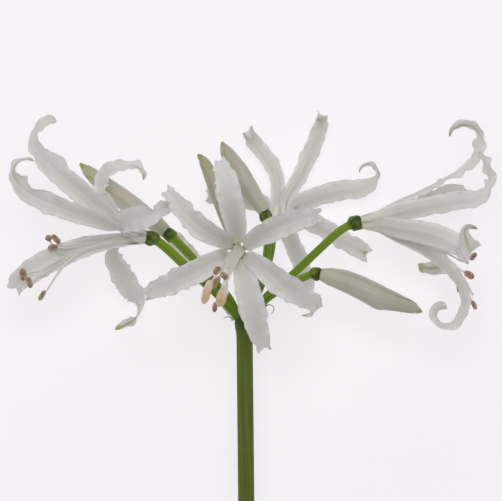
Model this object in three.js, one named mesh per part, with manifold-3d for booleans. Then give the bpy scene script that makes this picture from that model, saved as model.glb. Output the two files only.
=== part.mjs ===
// White nerine: one cut flower stem with four open blooms and four buds, lying on its back.
// Millimetres. While it is shaped, x runs to the right, y up along the stem and z towards
// the viewer, from the point where all the stalks meet. At the end it is laid down, Z up.

import * as THREE from 'three';
import Module from 'manifold-3d';

const wasm = await Module();
wasm.setup();

// Readings are taken as seen from this far in front of the flower, straight at this middle.
const VIEW_DISTANCE = 1500;
const VIEW_MIDDLE = new THREE.Vector2(3.0, 23.9);

// Lying down: the turns, in degrees, that bring the three lowest places onto one level.
const LYING_TILT = 7.43;
const LYING_ROLL = 0.43;

const STEM_LENGTH = 322;
const STEM_RADIUS = 3.0;
const STEM_TOP = new THREE.Vector3(0.6, -2.8, 0);
const STEM_TOP_RADIUS = 3.7;
const STEM_SIDES = 12;
const STEM_STATIONS = 9;
// The slight bend of the stem: x and z at these shares of its length below the top.
const STEM_BEND = [
  { share: 1, x: 2.6, z: 0 },
  { share: 0.6, x: 2.0, z: 0.8 },
  { share: 0.2, x: 1.2, z: 0.5 },
  { share: 0.006, x: 0.6, z: 0 },
];
const STEM_TOP_BANDS = 7;
// Points of a shape nearer than this are one point.
const SAME_POINT = 1e-4;

// Stalks start this far from the middle of the stem's rounded top, which leaves a fine gap.
const STALK_START = 4.15;
const STALK_FOOT_RADIUS = 1.0;
const STALK_SIDES = 7;
const STALK_STATIONS = 14;

// Left open between one piece and the next.
const PIECE_GAP = 0.3;

// Points that change a fused surface by less than this are left out.
const SIMPLIFY_WITHIN = 0.08;

const BLADE_THICKNESS = 0.7;
const BLADE_STATIONS = 16;
const BLADE_ACROSS = [-1, -0.4, 0.4, 1];
// A blade is cupped by this share of its half width, and less so beyond its middle.
const CUP = 0.5;
const CUP_LOST = 0.8;
// Its margins go in and out by this much, this many times, each margin at its own moment.
const RIPPLE = 0.75;
const RIPPLE_WAVES = 4.2;
const RIPPLE_TO_EDGE = 2.2;
const MARGIN_OFFSET = 1.9;
const PHASE_STEP = 1.7;

// Over 1 sets the rows of a blade or stalk closer together towards its end.
const BLADE_CROWDING = 1.25;
const STALK_CROWDING = 1.7;

const TUBE_RADIUS = 2.5;
const TUBE_MOUTH_RADIUS = 3.3;
const TUBE_LENGTH = 4.0;
const TUBE_SIDES = 8;
// Where a tepal starts inside the tube and where it leaves it: along, out and width.
const TEPAL_ROOT = { along: 0.6, out: 1.2, width: 3.2 };
const TEPAL_THROAT = { along: 3.6, out: 2.7, width: 3.6 };

const FILAMENT_RADIUS = 0.42;
const STYLE_RADIUS = 0.45;
const FILAMENT_STATIONS = 8;
const FILAMENT_SIDES = 3;
const FILAMENT_ROOT = { along: 1.0, out: 1.0 };
// Half thickness of a pollen sac at these shares of its length from its middle.
const SAC_SHARES = [-0.5, -0.3, 0.3, 0.5];
const SAC_FULLNESS = [0.35, 1, 1, 0.35];
const SAC_STATIONS = 5;
const SAC_SIDES = 5;

const BUD_STATIONS = 11;
const BUD_SIDES = 9;
const BUD_LOBES = 0.05;

// Steps between two given points when the length of a line is measured.
const CURVE_DIVISIONS = 40;
const TURN_STATIONS = 241;

// Stands in a row for a face that just follows on from the row before.
const N = null;

// Each tepal: where it sits round the flower (degrees), then rows of x, y, z, width across,
// and the way its inner face looks (degrees from the viewer).
// Each stamen: the points its filament passes, then the pollen sac's middle, the way it
// points, its length and its half thickness. Each style: the points it passes.
const BLOOMS = {
  front: {
    base: [-0.6, 23.4, 36.0],
    axis: [-0.05, 0.06, 1.0],
    phase: 0.0,
    tepals: [
      [0, [-1.5, 28.2, 42, 6.2, N], [-2.6, 33.5, 48, 7.6, N], [-4.2, 40.3, 51.5, 9.2, 0],
        [-5.4, 46.0, 52, 9.2, 0], [-6.5, 51.0, 50, 8.0, 0], [-7.8, 54.8, 46.4, 6.0, 0],
        [-8.5, 57.0, 41.2, 4.2, N], [-8.1, 56.8, 36, 2.8, N], [-7.2, 55.0, 32.5, 1.0, N]],
      [60, [-4.6, 26.3, 42, 5.6, N], [-8.6, 28.5, 48, 6.6, N], [-13.4, 31.0, 51, 8.0, 0],
        [-18.6, 35.2, 51, 8.2, 0], [-22.6, 39.6, 48.5, 6.6, 0], [-26.3, 44.0, 44, 5.0, 0],
        [-28.2, 46.0, 38.5, 4.2, N], [-27.8, 45.2, 33, 2.8, N], [-26.0, 43.5, 29, 1.0, N]],
      [120, [-4.8, 22.4, 42, 6.0, N], [-8.6, 20.6, 47.5, 7.0, N], [-13.2, 18.2, 50, 8.2, 0],
        [-18.6, 15.5, 51, 8.6, 0], [-23.6, 13.1, 50, 8.4, 0], [-28.4, 11.0, 47.5, 8.0, 0],
        [-32.8, 9.2, 43.5, 5.8, 0], [-35.8, 7.8, 38, 4.2, N], [-35.5, 7.0, 32.5, 2.8, N],
        [-33.6, 7.0, 29, 1.2, N]],
      [180, [-0.1, 18.6, 42, 6.6, N], [0.6, 13.8, 47.5, 7.8, N], [1.8, 9.0, 50.5, 9.2, 0],
        [3.0, 4.4, 52, 9.6, 0], [4.2, -0.4, 51.5, 9.4, 0], [5.3, -4.6, 49.8, 8.2, 0],
        [6.7, -8.6, 46.8, 6.2, 0], [7.8, -11.0, 42, 4.8, N], [7.6, -10.8, 37, 3.2, N],
        [6.6, -9.4, 33.5, 1.4, N]],
      [240, [3.2, 20.9, 42, 5.8, N], [6.6, 18.1, 47.5, 7.2, N], [10.4, 14.9, 50, 8.6, 0],
        [14.6, 11.5, 51, 9.4, 0], [18.8, 9.0, 50, 9.0, 0], [22.2, 7.1, 48, 8.0, 0],
        [25.4, 5.0, 44.5, 6.6, 0], [27.6, 3.0, 40, 5.2, N], [26.4, 1.2, 36.5, 3.8, N],
        [23.8, 0.4, 35, 2.4, N], [21.6, 0.0, 35, 0.9, N]],
      [300, [2.8, 27.2, 42, 5.8, N], [6.4, 29.5, 48, 7.2, N], [10.6, 31.5, 51, 8.6, 0],
        [14.6, 33.3, 51.5, 8.6, 0], [18.2, 34.6, 50, 8.2, 0], [21.8, 35.7, 47, 7.4, 0],
        [25.0, 36.4, 43, 6.2, 0], [27.3, 36.7, 38, 5.0, N], [27.2, 36.3, 33, 3.0, N],
        [25.8, 35.8, 29.5, 1.2, N]],
    ],
    stamens: [
      [[[-2.5, 24.6, 40], [-5.1, 20.7, 46], [-7.6, 18.1, 56]], [-9.6, 16.5, 65],
        [0.45, 0.85, 0.3], 3.4, 1.0],
      [[[-1.3, 23.8, 40], [-3.5, 19.6, 46], [-5.4, 16.8, 54]], [-7.0, 14.6, 63],
        [0.7, -0.7, 0.3], 3.2, 1.0],
      [[[-2.1, 24.3, 40], [-4.6, 20.3, 46], [-7.4, 15.8, 55]], [-13.3, 8.6, 65],
        [0.28, 0.96, 0.0], 9.0, 1.3],
      [[[-0.5, 23.2, 40], [-2.4, 18.9, 46], [-4.4, 14.0, 54]], [-7.8, 6.8, 63],
        [0.3, 0.95, 0.0], 7.4, 1.6],
      [[[-1.7, 24.0, 40], [-4.0, 20.0, 46], [-6.6, 15.9, 54]], [-10.4, 11.9, 62],
        [0.45, 0.85, 0.2], 4.0, 0.7],
      [[[-0.9, 23.5, 40], [-3.0, 19.3, 46], [-5.6, 14.4, 54], [-8.2, 9.2, 60]], [-10.4, 2.9, 62],
        [0.1, 1.0, 0.1], 3.6, 0.8],
    ],
    style: [[-1.2, 23.6, 40], [-3.2, 19.2, 47], [-4.9, 14.6, 56], [-5.8, 8.0, 64]],
  },
  left: {
    base: [-36.0, 28.9, 6.0],
    axis: [-0.97, 0.10, 0.2],
    phase: 0.9,
    tepals: [
      [0, [-44.6, 33.2, 8, 5.4, N], [-50.6, 37.9, 10, 6.4, 0], [-55.6, 41.9, 11, 7.8, 0],
        [-60.8, 46.5, 12, 8.4, 0], [-66.4, 51.0, 12, 8.0, 0], [-71.4, 55.8, 11.5, 8.0, -8],
        [-75.2, 59.8, 11, 7.0, -30], [-77.0, 63.4, 10.5, 6.0, -48], [-77.0, 66.8, 10, 5.6, -54],
        [-75.0, 69.5, 10, 5.2, -52], [-71.8, 70.8, 10, 4.6, -46], [-68.9, 70.9, 10, 3.2, -44]],
      [-62, [-45.0, 32.2, 13, 4.8, N], [-52.5, 34.7, 17, 5.8, 0], [-59.0, 36.7, 19, 6.6, 0],
        [-66.0, 39.1, 20, 7.2, 0], [-71.6, 41.4, 20, 8.0, 0], [-76.5, 43.6, 19.5, 7.4, -5],
        [-80.9, 46.2, 19, 6.8, -22], [-83.6, 49.6, 18.5, 6.2, -36], [-84.9, 53.2, 18, 5.2, -58],
        [-83.6, 56.2, 17.5, 4.2, -70], [-80.6, 57.4, 17, 3.2, -70], [-77.2, 57.0, 16.5, 1.4, -66]],
      [-100, [-40.6, 29.6, 10.6, 4.6, N], [-43.6, 31.6, 15.0, 6.4, N], [-45.6, 33.6, 20.0, 8.0, N],
        [-44.6, 34.7, 24.0, 9.2, 0], [-41.0, 35.4, 25.8, 9.8, 0], [-37.4, 36.2, 25.8, 9.4, 0],
        [-34.6, 36.6, 25.2, 7.0, 0], [-32.0, 37.8, 24.4, 5.6, 5], [-29.2, 39.6, 23.2, 5.4, 10],
        [-26.4, 41.4, 21.5, 2.4, 15]],
      [182, [-47.0, 27.8, 9, 5.4, N], [-53.0, 26.5, 12, 6.4, -15], [-59.5, 24.7, 14.5, 7.6, -5],
        [-66.0, 22.6, 16.5, 8.6, 0], [-71.4, 20.2, 17.5, 9.2, 0], [-76.4, 17.4, 18, 9.0, 0],
        [-80.6, 14.4, 17.5, 8.4, 0], [-83.8, 11.2, 15, 7.0, N], [-84.2, 9.0, 10.5, 5.0, N],
        [-82.6, 8.4, 6.5, 2.0, N]],
      [120, [-43.6, 27.6, 1, 5.0, N], [-47.2, 25.6, -5.5, 6.6, N], [-47.4, 21.6, -13.5, 7.6, 0],
        [-45.6, 17.0, -21, 8.4, 0], [-43.4, 12.6, -28, 8.6, 0], [-41.0, 8.8, -33.5, 7.8, 5],
        [-39.2, 5.2, -38, 6.8, 30], [-38.6, 1.8, -41, 5.8, 70], [-39.8, -1.2, -42.8, 5.0, 120],
        [-43.2, -3.4, -43.5, 3.8, 150], [-47.2, -5.3, -43.25, 1.2, 160]],
      [60, [-44.4, 33.2, 2, 5.2, N], [-48.2, 38.6, 1, 6.6, -40], [-50.4, 44.0, 1, 8.0, -38],
        [-50.8, 48.6, 2.5, 8.4, -42], [-48.8, 52.2, 5, 7.8, -50], [-45.6, 54.1, 8, 6.8, -57],
        [-42.0, 54.7, 10.5, 5.6, -60], [-38.8, 53.6, 12.5, 4.4, -62], [-37.2, 51.4, 13.5, 3.0, -60],
        [-37.4, 49.5, 14, 1.0, -60]],
    ],
    stamens: [
      [[[-54, 26.6, 15], [-62, 25.3, 19], [-67.5, 24.9, 22], [-70.6, 26.2, 24]], [-71.9, 28.5, 25],
        [0.25, 0.35, 0.9], 4.0, 1.05],
      [[[-54, 27.0, 16], [-62, 26.2, 20], [-66.8, 26.0, 23]], [-69.1, 28.1, 25],
        [-0.62, 0.66, 0.4], 4.4, 0.9],
      [[[-54, 26.0, 15], [-62, 24.2, 18.5], [-67, 22.6, 21]], [-70.3, 24.9, 23.5],
        [0.95, 0.05, 0.3], 3.9, 1.0],
      [[[-54, 25.6, 15], [-62, 23.6, 18], [-68, 20.6, 21], [-74, 17.0, 23], [-78.5, 16.0, 24]],
        [-81.4, 15.0, 24.5], [-0.1, 1.0, 0.2], 4.6, 1.1],
      [[[-54, 25.0, 14.5], [-62, 22.6, 17.5], [-68, 18.9, 20.5], [-74, 15.2, 23]], [-79.0, 12.0, 24.5],
        [-0.25, 0.95, 0.2], 4.2, 0.9],
      [[[-54, 25.0, 14.5], [-60, 23.0, 17], [-65, 19.6, 20], [-69, 14.6, 22.5], [-72.2, 9.6, 24]],
        [-74.3, 7.3, 24.5], [-0.5, -0.86, 0.1], 4.2, 0.8],
    ],
    style: [[-54, 25.6, 16], [-62, 22.9, 19], [-68, 19.2, 22], [-75, 14.4, 24]],
  },
  right: {
    base: [43.8, 34.3, 2.5],
    axis: [0.99, 0.06, 0.05],
    phase: 2.2,
    tepals: [
      [0, [50.5, 38.6, 2, 5.4, N], [57.0, 41.9, 1, 5.4, 98], [64.0, 45.0, 0, 5.8, 97],
        [70.5, 48.2, 0, 6.0, 98], [76.0, 51.0, 0, 6.2, 104], [80.8, 53.9, 0, 6.4, 116],
        [84.0, 57.5, 0, 6.6, 126], [86.2, 61.8, 0, 6.4, 130], [87.2, 66.2, 0, 5.6, 120],
        [85.4, 69.4, 0, 4.8, 106], [81.8, 70.4, 0, 4.2, 104], [78.4, 69.0, 0, 3.0, 106],
        [76.4, 66.0, 0, 1.0, 108]],
      [300, [51.0, 36.8, -4, 5.0, N], [58.0, 38.8, -8, 5.8, 10], [65.5, 40.8, -12, 6.4, 5],
        [72.5, 43.4, -15.5, 7.0, 0], [78.6, 45.6, -18.5, 6.6, 0], [81.4, 44.4, -22.5, 5.6, N],
        [81.6, 42.2, -27.5, 4.4, N], [80.4, 40.6, -30, 2.0, N]],
      [60, [51.0, 36.4, 7.5, 5.8, N], [58.0, 38.4, 11, 6.6, 170], [65.0, 39.8, 13.5, 7.0, 168],
        [72.0, 41.2, 15, 7.2, 165], [79.0, 42.5, 15.5, 7.2, 165], [84.6, 43.2, 15, 7.0, 165],
        [88.6, 44.6, 14.2, 6.2, 146], [91.0, 47.6, 13.2, 5.0, 112], [91.2, 51.2, 12.6, 4.6, 103],
        [90.0, 54.6, 12, 4.6, 100], [88.0, 57.4, 11.2, 4.2, 100], [85.6, 59.2, 10.5, 1.4, 100]],
      [120, [51.0, 33.4, 8.5, 6.0, N], [57.5, 32.3, 13, 7.4, 172], [64.0, 31.2, 17, 8.4, 175],
        [70.0, 29.8, 20, 8.6, 180], [75.4, 27.7, 22.5, 8.6, 180], [80.0, 25.5, 24.5, 8.6, 182],
        [83.4, 24.0, 27.5, 8.0, N], [84.0, 25.4, 31.5, 6.8, N], [82.2, 28.2, 33, 5.2, N],
        [81.6, 31.0, 32.5, 4.0, N], [83.2, 32.8, 31.5, 3.0, N], [86.4, 32.1, 31, 1.0, N]],
      [180, [50.0, 30.9, 3, 5.6, N], [55.6, 28.6, 4, 6.4, -118], [61.6, 26.3, 5, 7.0, -118],
        [67.6, 23.6, 6, 7.2, -118], [72.8, 20.3, 7, 7.4, -117], [77.2, 15.8, 7.5, 7.4, -116],
        [80.2, 10.4, 8, 7.4, -116], [81.2, 5.0, 8, 7.2, -116], [80.2, 0.4, 8, 6.6, -114],
        [77.2, -2.9, 8, 6.0, -112], [73.6, -3.0, 8, 5.2, -112], [71.7, -0.4, 8, 4.2, -112],
        [72.8, 1.8, 8, 3.0, -112], [76.0, 2.5, 8, 1.0, -112]],
      [240, [51.0, 31.8, -5, 5.6, N], [58.5, 28.9, -12.5, 6.8, N], [66.5, 25.4, -21.5, 7.4, N],
        [72.6, 22.0, -31, 7.4, N], [75.0, 19.2, -38, 6.8, N], [72.6, 17.8, -43, 6.0, 180],
        [69.0, 17.4, -45.6, 5.0, 180], [65.0, 17.9, -46.2, 2.4, 180]],
    ],
    stamens: [
      [[[54, 32.6, 1.5], [64, 29.0, 0], [72, 24.8, 0], [78, 21.6, 3], [81.2, 19.9, 7]],
        [85.2, 21.7, 12], [0.6, 0.75, 0.2], 3.4, 0.85],
      [[[54, 32.2, 1], [64, 28.0, -1], [72, 23.2, -1], [79.2, 17.6, 1]], [83.7, 14.9, 3],
        [0.8, -0.55, 0.2], 4.2, 1.1],
      [[[54, 31.8, 0], [64, 27.2, -2], [72, 21.8, -2], [79, 14.4, -1], [82.2, 8.2, 2]], [83.4, 4.1, 5],
        [-0.3, -0.95, 0.0], 3.8, 0.75],
      [[[54, 31.8, 1], [64, 27.0, -1], [72, 21.4, -1], [79.6, 14.4, 0], [83.2, 8.4, 2]], [85.5, 3.7, 4],
        [0.45, -0.9, 0.0], 3.6, 0.75],
      [[[56, 31.4, 1], [66, 28.0, -1], [74, 24.0, -2]], [81.5, 22.0, -2], [0.9, 0.3, 0.1], 4.0, 0.9],
      [[[56, 31.0, 0], [66, 27.0, -1.5], [74, 21.6, -3]], [80.0, 10.2, -4.5], [0.1, -1.0, 0.0], 4.0, 0.9],
    ],
    style: [[54, 32.2, 2], [64, 28.2, 0], [72, 23.0, 0], [80.4, 15.6, 1], [85.2, 7.3, 3]],
  },
  back: {
    base: [12.6, 33.8, -21.0],
    axis: [0.22, 0.50, -0.84],
    phase: 4.1,
    tepals: [
      [-8, [12.9, 43.0, -31, 5.4, N], [12.9, 48.2, -36, 5.4, 180], [12.2, 52.4, -39, 5.6, 180],
        [10.2, 56.4, -41, 5.8, 180], [7.9, 59.6, -41.5, 6.0, 180], [5.3, 62.6, -41, 5.8, 180],
        [3.0, 65.6, -38.5, 5.4, 180], [1.9, 67.9, -34, 5.0, N], [2.2, 67.0, -29, 3.0, N],
        [3.2, 65.2, -26, 1.2, N]],
      [35, [16.0, 43.6, -32, 5.0, N], [19.0, 48.0, -37, 5.4, 180], [21.6, 52.6, -40.5, 5.8, 180],
        [23.6, 57.0, -42.5, 6.2, 180], [25.4, 61.2, -43.5, 6.6, 180], [27.3, 65.6, -43, 6.0, 180],
        [28.6, 69.6, -40.5, 5.4, 180], [29.3, 72.8, -36, 4.8, N], [29.0, 73.2, -30.5, 3.0, N],
        [28.2, 71.8, -27, 1.2, N]],
      [88, [19.6, 41.1, -31, 6.0, N], [25.4, 43.1, -36, 7.2, 180], [31.0, 45.0, -38.5, 7.4, 180],
        [37.0, 46.3, -39.5, 7.8, 180], [42.8, 46.8, -39, 7.2, 172], [47.0, 48.4, -38, 6.2, 145],
        [49.5, 51.2, -37, 5.2, 112], [49.2, 53.9, -36, 4.6, 102], [47.0, 55.4, -35.5, 4.0, 100],
        [44.6, 54.8, -35, 3.2, 100], [43.0, 52.8, -35, 1.2, 100]],
      [142, [18.6, 37.3, -31, 5.6, N], [23.2, 35.2, -37, 6.6, 180], [28.0, 33.2, -41, 7.2, 180],
        [33.0, 30.4, -43.5, 7.2, 180], [37.8, 27.4, -44, 7.2, 180], [42.0, 25.0, -42, 7.0, 180],
        [45.2, 23.0, -38, 6.2, N], [45.8, 22.6, -33, 4.0, N], [44.8, 23.4, -29, 1.4, N]],
      [198, [16.0, 33.6, -31, 5.6, N], [17.4, 28.8, -37, 6.2, 180], [19.2, 24.6, -41, 6.6, 180],
        [21.2, 20.0, -43.5, 6.6, 180], [22.8, 15.4, -43.5, 6.2, 180], [23.9, 11.4, -40, 5.4, N],
        [24.0, 9.8, -35, 4.2, N], [23.0, 10.6, -31, 1.6, N]],
      [275, [8.6, 40.8, -29, 5.6, N], [3.2, 42.1, -35, 6.8, 180], [-2.2, 42.9, -38, 7.0, 180],
        [-7.2, 43.6, -39, 6.4, 180], [-11.2, 44.1, -37, 5.6, 180], [-13.0, 44.2, -32.5, 4.6, N],
        [-12.2, 43.8, -28, 2.0, N]],
    ],
    stamens: [
      [[[12.2, 32.8, -28], [12.2, 30.0, -33]], [12.2, 26.9, -37], [0.0, 0.8, 0.6], 3.4, 0.9],
      [[[11.4, 33.2, -28], [8.6, 31.2, -35]], [5.2, 28.8, -41], [0.9, 0.5, 0.0], 3.8, 0.9],
      [[[12.0, 33.0, -28], [10.6, 31.0, -35]], [8.8, 29.2, -41], [0.8, 0.6, 0.0], 4.0, 0.9],
      [[[11.6, 33.8, -28], [10.2, 32.8, -35]], [8.0, 31.2, -41.5], [0.9, 0.4, 0.0], 4.0, 0.9],
      [[[12.6, 33.2, -29], [12.6, 32.0, -36]], [12.0, 31.0, -41.5], [0.9, 0.4, 0.0], 4.0, 0.9],
      [[[13.0, 33.6, -29], [14.2, 33.0, -35]], [15.2, 32.6, -39], [0.9, 0.4, 0.1], 3.8, 0.9],
    ],
    style: [[12.0, 33.4, -29], [10.6, 32.4, -36], [8.4, 31.6, -40], [6.6, 30.4, -42]],
  },
};

// Each stalk: the way it leaves the stem's top, then rows of x, y, z and radius. Its wide
// last row is the seed pod under the flower or bud of the same name.
const STALKS = {
  front: {
    start: [0.05, 0.35, 0.93],
    rows: [[0.8, 3.5, 9, 1.4], [0.3, 10, 16, 1.5], [-0.2, 17, 24, 1.5], [-0.5, 21.2, 30, 1.6],
      [-0.6, 23.1, 33.4, 2.7]],
  },
  left: {
    start: [-0.80, 0.52, 0.30],
    rows: [[-8, 6, 1.6, 1.45], [-15.5, 12.8, 2.6, 1.5], [-23, 19.5, 3.6, 1.5], [-28.6, 24.7, 4.6, 1.5],
      [-31.0, 27.0, 5.1, 1.8], [-33.0, 28.3, 5.4, 2.8]],
  },
  right: {
    start: [0.80, 0.58, -0.10],
    rows: [[9, 7, 0, 1.45], [18.5, 15, 0.5, 1.5], [28, 24, 1.2, 1.5], [34.5, 30.3, 1.8, 1.5],
      [37.8, 32.6, 2, 1.9], [40.6, 33.8, 2.2, 2.8]],
  },
  back: {
    start: [0.50, 0.58, -0.64],
    rows: [[5.2, 7, -5, 1.4], [8.2, 15, -8, 1.5], [10.4, 24, -11.4, 1.5], [11.0, 29.6, -15.0, 1.6],
      [11.9, 32.3, -18.5, 2.7]],
  },
  left_bud: {
    start: [-0.72, 0.56, -0.42],
    rows: [[-5, 6.4, -3.2, 1.4], [-11, 13.6, -5, 1.5], [-17, 21.2, -6.8, 1.5], [-23.4, 27.4, -8.2, 1.5],
      [-26.1, 29.5, -9, 2.5]],
  },
  slim_bud: {
    start: [-0.22, 0.62, -0.75],
    rows: [[-0.9, 5, -4.8, 1.2], [-1.7, 12, -6.2, 1.3], [-2.7, 20, -7.2, 1.3], [-3.3, 26.4, -8, 1.3],
      [-3.7, 29.2, -8.4, 2.2]],
  },
  top_bud: {
    start: [0.15, 0.98, -0.10],
    rows: [[3.4, 6.5, -1.2, 1.3], [6, 12, -2.2, 1.4], [8.4, 19, -3.8, 1.5], [9.2, 27, -5.8, 1.5],
      [8.9, 33, -7.4, 1.5], [8.6, 35.8, -8.2, 2.4]],
  },
  right_bud: {
    start: [0.78, 0.30, 0.55],
    rows: [[8.5, 5.6, 4.4, 1.3], [14, 9.5, 5.2, 1.4], [20, 12.8, 5.6, 1.4], [24.6, 14.8, 5.9, 1.5],
      [26.6, 15.3, 6, 2.5]],
  },
};

// Each bud: rows of x, y, z and width across, from its foot to its point.
const BUDS = {
  left_bud: [[-28.4, 31.1, -10, 4.2], [-31, 33.1, -11, 5.6], [-35.5, 36.4, -12.2, 6.8],
    [-40, 39.8, -13.5, 7.2], [-45, 43.6, -14.8, 7.2], [-50, 47.3, -16, 6.6],
    [-54.5, 51.0, -17.2, 5.4], [-58, 54.0, -18, 3.6], [-60.3, 56.1, -18.4, 0.9]],
  slim_bud: [[-4.5, 31.4, -8.9, 3.4], [-5.5, 33.6, -9.2, 3.9], [-6.8, 37.2, -9.6, 4.3],
    [-8.7, 42.6, -10.2, 4.6], [-10.8, 48.4, -10.8, 4.6], [-12.0, 51.6, -11.3, 4.5],
    [-13.3, 54.9, -11.8, 4.1], [-14.6, 57.2, -12, 3.4], [-16.7, 59.5, -12, 0.8]],
  top_bud: [[8, 38.2, -9, 3.8], [6.8, 40.1, -9.3, 4.9], [5.0, 42.8, -9.6, 5.8], [2.9, 46.2, -10.2, 6.5],
    [0.6, 50.0, -10.8, 6.8], [-1.6, 53.6, -11.4, 6.8], [-3.9, 57.0, -11.8, 6.1], [-5.7, 60.0, -12, 4.8],
    [-7.7, 64.1, -12, 0.9]],
  right_bud: [[28.9, 15, 6.2, 4.0], [32.2, 14.2, 6.8, 6.2], [37.6, 12.6, 7.4, 7.6], [43.1, 10.4, 8, 8.2],
    [48.6, 7.8, 8.4, 8.2], [54, 5.7, 8.5, 7.2], [59.5, 3.8, 8.4, 5.4], [63, 2.6, 8.2, 4.0],
    [66.2, 1.1, 8, 0.8]],
};

// The dry skin that once wrapped the buds, and two dry threads beside it.
const DRY_SHEATH = [[-4.4, 0.4, -4.6, 2.4, 0], [-8.6, 7.2, -8.4, 3.6, 0], [-14, 14.6, -11.4, 5.2, 0],
  [-19.4, 20.8, -13, 7.4, 0], [-23.2, 25.6, -14, 7.2, 0], [-26.4, 29.6, -14.8, 4.8, 0],
  [-28.6, 32, -15.2, 1.0, 0]];
const DRY_THREADS = {
  dry_thread_left: [[-3.6, -2.0, 0.6], [-4.8, -0.7, 0.7], [-5.9, -0.7, 0.8], [-7.2, -1.2, 0.8]],
  dry_thread_right: [[4.7, -2.4, -2.2], [7.0, 1.6, -2.9], [9.4, 3.8, -2.8], [11.2, 3.2, -2.6],
    [11.4, 1.6, -2.5], [10.3, 0.2, -2.5]],
};
const DRY_THREAD_RADIUS = 0.4;
const DRY_THREAD_STATIONS = 8;
const DRY_THREAD_SIDES = 4;

const COLOURS = {
  stem: { colour: 0x4b5f28, roughness: 0.5 },
  stalk: { colour: 0x557817, roughness: 0.45 },
  petal: { colour: 0xe4e2de, roughness: 0.55 },
  bud: { colour: 0xb4ae93, roughness: 0.5 },
  dry: { colour: 0xb9ac94, roughness: 0.8 },
};

// Takes a point as it is seen to where it truly is: nearer things are seen larger.
function place(x, y, z) {
  const scale = 1 - z / VIEW_DISTANCE;
  return new THREE.Vector3(
    VIEW_MIDDLE.x + (x - VIEW_MIDDLE.x) * scale,
    VIEW_MIDDLE.y + (y - VIEW_MIDDLE.y) * scale,
    z,
  );
}

function ease(x, from, to) {
  const t = THREE.MathUtils.clamp((x - from) / (to - from), 0, 1);
  return t * t * (3 - 2 * t);
}

// Straight-line reading of a table of values at rising positions.
function reading(at, positions, values) {
  let i = 0;
  while (i < positions.length - 2 && at > positions[i + 1]) {
    i += 1;
  }
  const t = THREE.MathUtils.clamp((at - positions[i]) / (positions[i + 1] - positions[i]), 0, 1);
  return values[i] + (values[i + 1] - values[i]) * t;
}

// Shares of a length from 0 to 1, closer together towards the end when crowding is over 1.
function shares(count, crowding = 1) {
  return Array.from({ length: count }, (_, i) => 1 - (1 - i / (count - 1)) ** crowding);
}

// A smooth line through the points, its stations at these shares of its length, and the
// share of its length at which each point lies.
function smoothLine(points, stations) {
  const curve = new THREE.CatmullRomCurve3(points, false, 'centripetal');
  curve.arcLengthDivisions = (points.length - 1) * CURVE_DIVISIONS;
  const lengths = curve.getLengths();
  const total = lengths[lengths.length - 1];
  const pointShares = points.map((_, i) => lengths[i * CURVE_DIVISIONS] / total);
  return { line: stations.map((s) => curve.getPointAt(s)), pointShares };
}

// The direction of the line at each station, and a normal carried along it without twist.
function carriedFrames(line, firstNormal) {
  const tangents = line.map((_, i) => {
    const before = line[Math.max(i - 1, 0)];
    const after = line[Math.min(i + 1, line.length - 1)];
    return after.clone().sub(before).normalize();
  });
  const normals = [];
  let normal = firstNormal.clone();
  for (const tangent of tangents) {
    normal = normal.clone().addScaledVector(tangent, -normal.dot(tangent)).normalize();
    normals.push(normal);
  }
  return { tangents, normals };
}

// A closed solid along a line, round or slightly three-sided, with flat ends.
function sweep(points, radii, stations, sides, lobes = 0) {
  const { line, pointShares } = smoothLine(points, stations);
  const first = Math.abs(line[1].x - line[0].x) < Math.abs(line[1].y - line[0].y)
    ? new THREE.Vector3(1, 0, 0) : new THREE.Vector3(0, 1, 0);
  const { tangents, normals } = carriedFrames(line, first);
  const vertices = [];
  const faces = [];
  for (let i = 0; i < stations.length; i += 1) {
    const radius = reading(stations[i], pointShares, radii);
    const across = tangents[i].clone().cross(normals[i]);
    for (let j = 0; j < sides; j += 1) {
      const angle = (2 * Math.PI * j) / sides;
      const reach = radius * (1 + lobes * Math.cos(3 * angle));
      const point = line[i].clone()
        .addScaledVector(normals[i], reach * Math.cos(angle))
        .addScaledVector(across, reach * Math.sin(angle));
      vertices.push(point);
    }
  }
  for (let i = 0; i < stations.length - 1; i += 1) {
    for (let j = 0; j < sides; j += 1) {
      const a = i * sides + j;
      const b = i * sides + ((j + 1) % sides);
      faces.push([a, b, b + sides], [a, b + sides, a + sides]);
    }
  }
  const last = (stations.length - 1) * sides;
  for (let j = 1; j < sides - 1; j += 1) {
    faces.push([0, j + 1, j], [last, last + j, last + j + 1]);
  }
  return solid(vertices, faces);
}

// Extra turn at each station so that the inner face looks the way the rows say.
function faceTurns(points, pointShares, facing, firstNormal) {
  const { line } = smoothLine(points, shares(TURN_STATIONS));
  const { tangents, normals } = carriedFrames(line, firstNormal);
  const positions = [0, pointShares[1]];
  const turns = [0, 0];
  let last = 0;
  facing.forEach((degrees, k) => {
    if (degrees === null) {
      return;
    }
    const i = Math.round(pointShares[k] * (TURN_STATIONS - 1));
    const tangent = tangents[i];
    const toViewer = new THREE.Vector3(0, 0, 1).addScaledVector(tangent, -tangent.z).normalize();
    const beside = tangent.clone().cross(toViewer);
    const angle = THREE.MathUtils.degToRad(degrees);
    const wanted = toViewer.multiplyScalar(Math.cos(angle)).addScaledVector(beside, Math.sin(angle));
    const across = tangent.clone().cross(normals[i]);
    let turn = Math.atan2(wanted.dot(across), wanted.dot(normals[i]));
    turn += 2 * Math.PI * Math.round((last - turn) / (2 * Math.PI));
    last = turn;
    positions.push(pointShares[k]);
    turns.push(turn);
  });
  return { positions, turns };
}

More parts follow.
